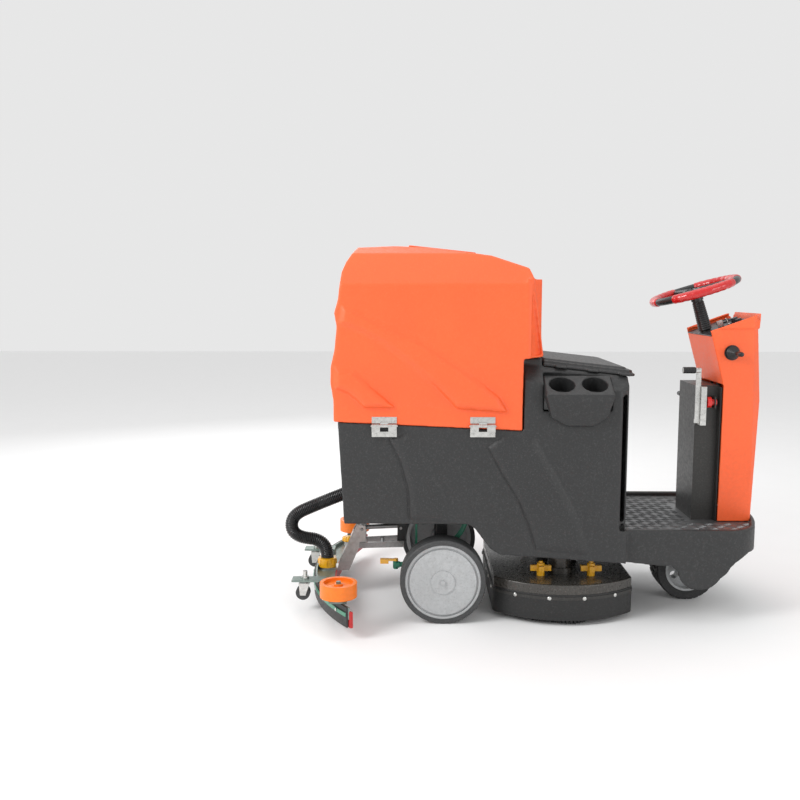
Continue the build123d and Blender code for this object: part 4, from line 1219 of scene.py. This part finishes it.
# ------------------------------------------------------------------ wheels
@dataclass
class Tyres:
    """The patterned front tyres and the plain rear tyres."""

    front_at: Point = (0.620, 0.0, 0.113)
    front_radius: float = 0.113
    rear_at: tuple[float, float] = (-0.307, 0.150)
    rear_radius: float = 0.150
    blocks: int = 30
    block_gap: float = 0.2
    block_lean: float = 0.22
    groove: float = 0.0032
    tread_middle: float = 0.031
    tread_half: float = 0.029
    centre_groove: float = 0.0028
    rear_rib: float = 0.012
    rear_rib_gap: float = 0.16
    rear_groove: float = 0.0012

    def build(self) -> None:
        """Make the tyres and hand them to their wheels."""
        self._front()
        for name, side in (("right", -1), ("left", 1)):
            self._rear(name, side)

    def _front(self) -> None:
        """Make the twin front tyres with blocks round their treads."""
        pieces = []
        for side in (-1, 1):
            piece = turned(
                f"front_tyre_{'left' if side > 0 else 'right'}",
                self._profile(0.002, 0.060, 0.0802, self.front_radius, 22),
                self.front_at, (0, side, 0), 360, self._carve,
            )
            pieces.append(piece)
        settle(pieces[0], "front_wheel", TYRE_BLACK, ["front_tyres"])
        settle(pieces[1], "front_wheel", TYRE_BLACK)

    def _carve(self, turn: float, offset: float) -> float:
        """Give the depth of the tread at a point.

        Args:
            turn: The angle round the wheel.
            offset: The distance from the machine's middle.

        Returns:
            The depth to cut.
        """
        lean = self.block_lean * abs((offset - self.tread_middle) / self.tread_half)
        phase = (turn / (2 * pi) * self.blocks + lean) % 1.0
        if phase < self.block_gap:
            return self.groove
        return self.groove if abs(offset - self.tread_middle) < self.centre_groove else 0.0

    def _carve_rear(self, turn: float, offset: float) -> float:
        """Give the depth of the fine rings round a rear tyre.

        Args:
            turn: The angle round the wheel, which the rings don't depend on.
            offset: The distance from the machine's middle.

        Returns:
            The depth to cut.
        """
        return self.rear_groove if (offset / self.rear_rib) % 1 < self.rear_rib_gap else 0.0

    @staticmethod
    def _profile(
        inner: float, outer: float, bore: float, radius: float, steps: int
    ) -> list[tuple[float, float]]:
        """Make a tyre's profile with rounded shoulders.

        Args:
            inner: The near side's distance along the axle.
            outer: The far side's distance along the axle.
            bore: The tyre's inner radius.
            radius: The tyre's outer radius.
            steps: How many points its tread has.

        Returns:
            The profile's (distance, radius) pairs.
        """
        shoulder = 0.006
        points = [(inner, bore), (inner + 0.0008, radius - shoulder - 0.004)]
        for k in range(5):
            t = pi / 2 * k / 4
            points.append(
                (inner + shoulder * (1 - cos(t)), radius - shoulder * (1 - sin(t)))
            )
        span = outer - inner - 2 * shoulder
        for k in range(1, steps):
            points.append((inner + shoulder + span * k / steps, radius))
        for k in range(5):
            t = pi / 2 * (1 - k / 4)
            points.append(
                (outer - shoulder * (1 - cos(t)), radius - shoulder * (1 - sin(t)))
            )
        points += [(outer - 0.0008, radius - shoulder - 0.004), (outer, bore)]
        return points

    def _rear(self, name: str, side: int) -> None:
        """Make one plain rear tyre.

        Args:
            name: Which side it is on.
            side: 1 on the left and -1 on the right.
        """
        piece = turned(
            f"rear_tread_{name}",
            self._profile(0.245, 0.330, 0.1322, self.rear_radius, 16),
            (self.rear_at[0], 0.0, self.rear_at[1]), (0, side, 0), 180,
            self._carve_rear,
        )
        settle(piece, f"rear_wheel_{name}", TYRE_GREY, [f"rear_tyre_{name}"])


# ------------------------------------------------------------------ brush deck
@dataclass
class BrushDeck:
    """The skirt, its clamp strap and bolts, and the two bristle brushes.

    A tuft is a loft of three rings, each given by its height, its radius and its share of the
    tuft's lean.
    """

    centre_x: float = 0.122
    radius: float = 0.345
    flat: float = 0.246
    corner_width: float = 0.02
    corner_depth: float = 0.0026
    strap_low: float = 0.094
    strap_high: float = 0.106
    brush_y: float = 0.165
    tuft_circles: int = 6
    first_circle: float = 0.078
    circle_step: float = 0.0142
    tuft_spacing: float = 0.013
    tuft_rings: tuple[Point, ...] = (
        (0.049, 0.0042, 0.0), (0.026, 0.0050, 0.5), (0.002, 0.0062, 1.0),
    )

    def build(self) -> None:
        """Make the deck's soft and small pieces."""
        self._skirt()
        self._strap()
        self._bolts()
        for side, name, body in ((-1, "right", "brush_r"), (1, "left", "brush_l")):
            self._brush(side, name, body)

    def outline(self, grow: float, count: int = 240) -> list[tuple[float, float]]:
        """Give the deck's plan: a disc cut flat front and rear, with eased corners.

        Args:
            grow: How far outside the pressing it runs.
            count: How many points it has.

        Returns:
            The outline's points.
        """
        radius, flat = self.radius + grow, self.flat + grow
        points = []
        for k in range(count):
            t = 2 * pi * k / count
            to_flat = flat / abs(cos(t)) if abs(cos(t)) > 1e-6 else FAR_AWAY
            reach = min(radius, to_flat)
            gap = abs(radius - to_flat)
            if gap < self.corner_width:
                reach -= self.corner_depth * (1 - gap / self.corner_width) ** 2
            points.append((self.centre_x + reach * cos(t), reach * sin(t)))
        return points

    def _band(
        self, name: str, sections: Sequence[tuple[float, float]], inner: float
    ) -> bpy.types.Object:
        """Make a closed band that follows the deck's outline.

        Args:
            name: The band's name.
            sections: Its (distance outside the pressing, height) pairs, from bottom to top.
            inner: How far outside the pressing its inner face lies.

        Returns:
            The band.
        """
        loops = [
            [(x, y, z) for x, y in self.outline(grow)] for grow, z in sections
        ] + [
            [(x, y, z) for x, y in self.outline(inner)] for _, z in reversed(sections)
        ]
        points, faces = loft(loops, True, False)
        return make_object(name, points, faces)

    def _skirt(self) -> None:
        """Make the rubber skirt with the shallow waves of a hanging strip."""
        sections = [
            (0.0022, 0.020), (0.0028, 0.024), (0.0030, 0.050), (0.0028, 0.072),
            (0.0034, 0.084), (0.0030, 0.100), (0.0024, 0.111), (0.0016, 0.112),
        ]
        skirt = self._band("rubber_skirt", sections, 0.0002)
        settle(skirt, "brush_deck", SKIRT_BLACK, ["deck_skirt"])

    def _strap(self) -> None:
        """Make the steel strap that clamps the skirt."""
        sections = [
            (0.0032, self.strap_low), (0.0048, self.strap_low + 0.0006),
            (0.0048, self.strap_high - 0.0006), (0.0032, self.strap_high),
        ]
        settle(self._band("skirt_strap", sections, 0.0031), "brush_deck", STEEL_DARK)

    def _bolts(self) -> None:
        """Put round-headed bolts along the strap."""
        head = [(0.0, 0.0001), (0.0, 0.0068), (0.0018, 0.0068), (0.0034, 0.0052),
                (0.0040, 0.0022), (0.0040, 0.0001)]
        points: list[Point] = []
        faces: list[list[int]] = []
        outline = self.outline(0.0046, 360)
        middle = (self.strap_low + self.strap_high) / 2
        for k in range(0, 360, 20):
            x, y = outline[k]
            out = Vector((x - self.centre_x, y, 0.0))
            if abs(abs(x - self.centre_x) - self.flat) < 0.006:
                out = Vector((x - self.centre_x, 0.0, 0.0))
            out.normalize()
            bolt = turned("bolt", head, (x, y, middle), tuple(out), 20)
            add_skin(points, faces, take_mesh(bolt))
        settle(make_object("skirt_bolts", points, faces), "brush_deck", ZINC)

    def _brush(self, side: int, name: str, body: str) -> None:
        """Make one brush: a turned block and rings of splayed tufts.

        Args:
            side: 1 on the left and -1 on the right.
            name: Which brush it is.
            body: The body that it turns with.
        """
        centre = (self.centre_x, side * self.brush_y, 0.0)
        block = [
            (0.046, 0.0102), (0.046, 0.150), (0.050, 0.156), (0.068, 0.156), (0.072, 0.152),
            (0.072, 0.030), (0.092, 0.030), (0.092, 0.0102),
        ]
        disc = turned(f"brush_block_{name}", block, centre, (0, 0, 1), 96)
        settle(disc, body, BLACK_PLASTIC, [f"brush_{name}"])
        points: list[Point] = []
        faces: list[list[int]] = []
        for ring in range(self.tuft_circles):
            reach = self.first_circle + self.circle_step * ring
            tufts = int(2 * pi * reach / self.tuft_spacing)
            for k in range(tufts):
                t = 2 * pi * (k + 0.5 * (ring % 2)) / tufts
                lean = 0.006 * sin(7.0 * t + ring) + 0.003
                rows = []
                for low, wide, shift in self.tuft_rings:
                    out = reach + lean * shift
                    rows.append(
                        [
                            (
                                centre[0] + out * cos(t) + wide * cos(t + pi * n / 4),
                                centre[1] + out * sin(t) + wide * sin(t + pi * n / 4),
                                low,
                            )
                            for n in range(8)
                        ]
                    )
                add_skin(points, faces, loft(rows, False, True))
        tufts_piece = make_object(f"brush_tufts_{name}", points, faces)
        settle(tufts_piece, body, BRISTLE)


# ------------------------------------------------------------------ squeegee
@dataclass
class SqueegeeTrim:
    """The green clamp strap, its bolts, the yellow angle knob and the red blade's ends.

    The path of a blade end gives its station, its distance from the middle and its half
    thickness.
    """

    centre_x: float = -0.7885
    end_x: float = -0.6345
    half_width: float = 0.486
    low: float = 0.082
    high: float = 0.096
    thickness: float = 0.0026
    bolt_height: float = 0.089
    bolt_pitch: float = 0.108
    bolts_each_side: int = 4
    knob_at: Point = (-0.664, 0.0, 0.2052)
    tip_path: tuple[Point, ...] = (
        (-0.6350, 0.4660, 0.0045), (-0.6265, 0.4740, 0.0048), (-0.6215, 0.4815, 0.0050),
        (-0.6180, 0.4870, 0.0050), (-0.6150, 0.4900, 0.0042),
    )
    tip_low: float = 0.0446
    tip_shoulder: float = 0.0985
    tip_high: float = 0.0995

    def build(self) -> None:
        """Make the trim and hand it to the squeegee."""
        self._strap()
        self._bolts()
        self._knob()
        self._red_tips()

    def _arc(self, y: float, out: float) -> tuple[Point, Vector]:
        """Give a point on the strap's arc and the way it faces.

        Args:
            y: The distance from the middle.
            out: How far outside the blade it lies.

        Returns:
            The point at zero height, and the outward direction.
        """
        rise = self.end_x - self.centre_x
        radius = (rise * rise + self.half_width * self.half_width) / (2 * rise)
        turn = asin(max(-1.0, min(1.0, y / radius)))
        centre = self.centre_x + radius
        facing = Vector((-cos(turn), sin(turn), 0.0))
        return (
            (centre - (radius + out) * cos(turn), (radius + out) * sin(turn), 0.0),
            facing,
        )

    def _strap(self) -> None:
        """Bend the strap round the back of the rear blade."""
        rings = []
        steps = 96
        for k in range(steps + 1):
            y = -self.half_width + 2 * self.half_width * k / steps
            inner, outer = self._arc(y, 0.0)[0], self._arc(y, self.thickness)[0]
            rings.append(
                [
                    (inner[0], inner[1], self.low), (outer[0], outer[1], self.low + 0.0006),
                    (outer[0], outer[1], self.high - 0.0006), (inner[0], inner[1], self.high),
                ]
            )
        points, faces = loft(rings, False, True)
        settle(
            make_object("blade_strap", points, faces), "squeegee", STRAP_GREEN
        )

    def _bolts(self) -> None:
        """Put chrome bolts along the strap."""
        head = [(0.0, 0.0001), (0.0, 0.0062), (0.0028, 0.0062), (0.0036, 0.005),
                (0.0036, 0.0001)]
        points: list[Point] = []
        faces: list[list[int]] = []
        for k in range(-self.bolts_each_side, self.bolts_each_side + 1):
            at, facing = self._arc(k * self.bolt_pitch, self.thickness)
            bolt = turned("bolt", head, (at[0], at[1], self.bolt_height), tuple(facing), 6)
            add_skin(points, faces, take_mesh(bolt))
        settle(make_object("strap_bolts", points, faces, False), "squeegee", ZINC)

    def _knob(self) -> None:
        """Make the fluted yellow knob that sets the squeegee's angle."""
        cap = [(0.0, 0.0001), (0.0, 0.017), (0.003, 0.0195), (0.014, 0.0195), (0.018, 0.0165),
               (0.020, 0.010), (0.020, 0.0001)]
        knob = turned(
            "angle_knob", cap, self.knob_at, (0, 0, 1), 96,
            lambda turn, offset: 0.0022 * max(0.0, cos(8 * turn)) ** 2,
        )
        settle(knob, "squeegee_arm", YELLOW)

    def _red_tips(self) -> None:
        """Make the red front blade's ends, which stand past the rear blade."""
        for side, name in ((-1, "right"), (1, "left")):
            rings = []
            for x, y, wide in self.tip_path:
                corners = (
                    (-wide, self.tip_low), (wide, self.tip_low), (wide, self.tip_shoulder),
                    (wide * 0.8, self.tip_high), (-wide * 0.8, self.tip_high),
                    (-wide, self.tip_shoulder),
                )
                rings.append([(x + out, side * y, z) for out, z in corners])
            points, faces = loft(rings, False, True)
            tip = make_object(f"blade_tip_{name}", points, faces)
            settle(tip, "squeegee", BLADE_RED)


# ------------------------------------------------------------------ driver's controls
@dataclass
class Controls:
    """The steering wheel's sleeves, the column's boot, the drive stalk and the lever's sleeve."""

    stalk_at: Point = (0.722, -0.150, 0.940)
    wheel_at: Point = (0.627, 0.0, 1.159)
    wheel_radius: float = 0.150
    rake: float = 17.0
    grip_radius: float = 0.0162
    grip_middles: tuple[float, ...] = (-92.0, 28.0, 148.0)
    grip_half: float = 45.0
    rim_radius: float = 0.0139
    grip_ease: float = 0.006
    finger_wave: float = 0.0005
    fingers: float = 9.0
    lever_at: Point = (0.5588, -0.121, 0.875)

    def build(self) -> None:
        """Make the controls' soft parts and hand each to its body."""
        self._stalk()
        self._grips()
        self._boot()
        self._lever_grip()

    def _stalk(self) -> None:
        """Make the stalk and its bellows in one turned piece."""
        profile = [(-0.0014, 0.0001), (-0.0014, 0.005), (0.005, 0.005), (0.0052, 0.019)]
        for k in range(5):
            start, wide = 0.0055 + 0.008 * k, 0.0235 - 0.0032 * k
            profile += [
                (start, wide - 0.005), (start + 0.0018, wide - 0.0006), (start + 0.0034, wide),
                (start + 0.0050, wide - 0.0012), (start + 0.0070, wide - 0.0062),
            ]
        profile += [
            (0.0465, 0.0058), (0.048, 0.0052), (0.061, 0.0052), (0.0625, 0.0080),
            (0.066, 0.0090), (0.094, 0.0086), (0.100, 0.0066), (0.102, 0.0001),
        ]
        stalk = turned("stalk_bellows", profile, self.stalk_at, (0, -1, 0), 64)
        settle(stalk, "stalk", BLACK_PLASTIC, ["drive_stalk"])

    def _axes(self) -> tuple[Vector, Vector, Vector]:
        """Give the directions that the steering wheel's plane follows.

        Returns:
            Its forward, leftward and upward directions.
        """
        rake = radians(self.rake)
        forward = Vector((cos(rake), 0.0, sin(rake)))
        return forward, Vector((0.0, 1.0, 0.0)), Vector((-sin(rake), 0.0, cos(rake)))

    def _grips(self) -> None:
        """Make three glossy sleeves round the rim, with eased ends and shallow finger waves."""
        forward, left, up = self._axes()
        points: list[Point] = []
        faces: list[list[int]] = []
        for middle in self.grip_middles:
            rings = []
            steps = 60
            for k in range(steps + 1):
                share = k / steps
                turn = radians(middle - self.grip_half + 2 * self.grip_half * share)
                end = min(share, 1.0 - share) * 2 * radians(self.grip_half) * self.wheel_radius
                ease = min(1.0, end / self.grip_ease)
                wave = self.finger_wave * cos(2 * pi * share * self.fingers)
                proud = self.grip_radius - self.rim_radius + wave
                radius = self.rim_radius + proud * ease ** 0.5
                out = forward * cos(turn) + left * sin(turn)
                centre = Vector(self.wheel_at) + out * self.wheel_radius
                rings.append(
                    [
                        tuple(
                            centre + out * radius * cos(2 * pi * n / 28)
                            + up * radius * sin(2 * pi * n / 28)
                        )
                        for n in range(28)
                    ]
                )
            add_skin(points, faces, loft(rings, False, True))
        grips = make_object("rim_sleeves", points, faces)
        settle(grips, "steering_wheel", RED_GRIP, ["wheel_grips"])

    def _boot(self) -> None:
        """Make the ribbed black boot round the steering column."""
        up = self._axes()[2]
        profile = [(-0.043, 0.0192)]
        for k in range(14):
            start = -0.044 - 0.0076 * k
            wide = 0.0205 + 0.00022 * k
            profile += [(start, wide), (start - 0.0045, wide + 0.0011), (start - 0.0066, wide)]
        profile += [(-0.152, 0.0192)]
        boot = turned("column_boot", profile, self.wheel_at, tuple(up), 64)
        settle(boot, "chassis", BLACK_PLASTIC)

    def _lever_grip(self) -> None:
        """Make the ribbed black sleeve on the squeegee lever's crossbar."""
        profile = [(0.0, 0.0101), (0.0002, 0.0112)]
        for k in range(8):
            start = 0.002 + 0.0052 * k
            profile += [(start, 0.0118), (start + 0.003, 0.0118), (start + 0.004, 0.0110)]
        profile += [(0.0455, 0.0101)]
        grip = turned("lever_sleeve", profile, self.lever_at, (1, 0, 0), 40)
        settle(grip, "lever", BLACK_PLASTIC)


def dress_frame(frame: dict) -> None:
    """Give every node that stays in view its own finish.

    Args:
        frame: The loaded frame.
    """
    for node, finish in CAD_FINISHES.items():
        dress(frame["nodes"][node], finish)
        LOG.info("%s: %s", node, finish.name)


def main() -> None:
    """Build the machine round its frame."""
    logging.basicConfig(level=logging.INFO, format="%(message)s")
    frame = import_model()
    Studio().build()
    SuctionHose().build()
    dress_frame(frame)
    Mouldings(frame).build()
    Platform().build()
    Tyres().build()
    BrushDeck().build()
    SqueegeeTrim().build()
    Controls().build()


if __name__ == "__main__":
    main()
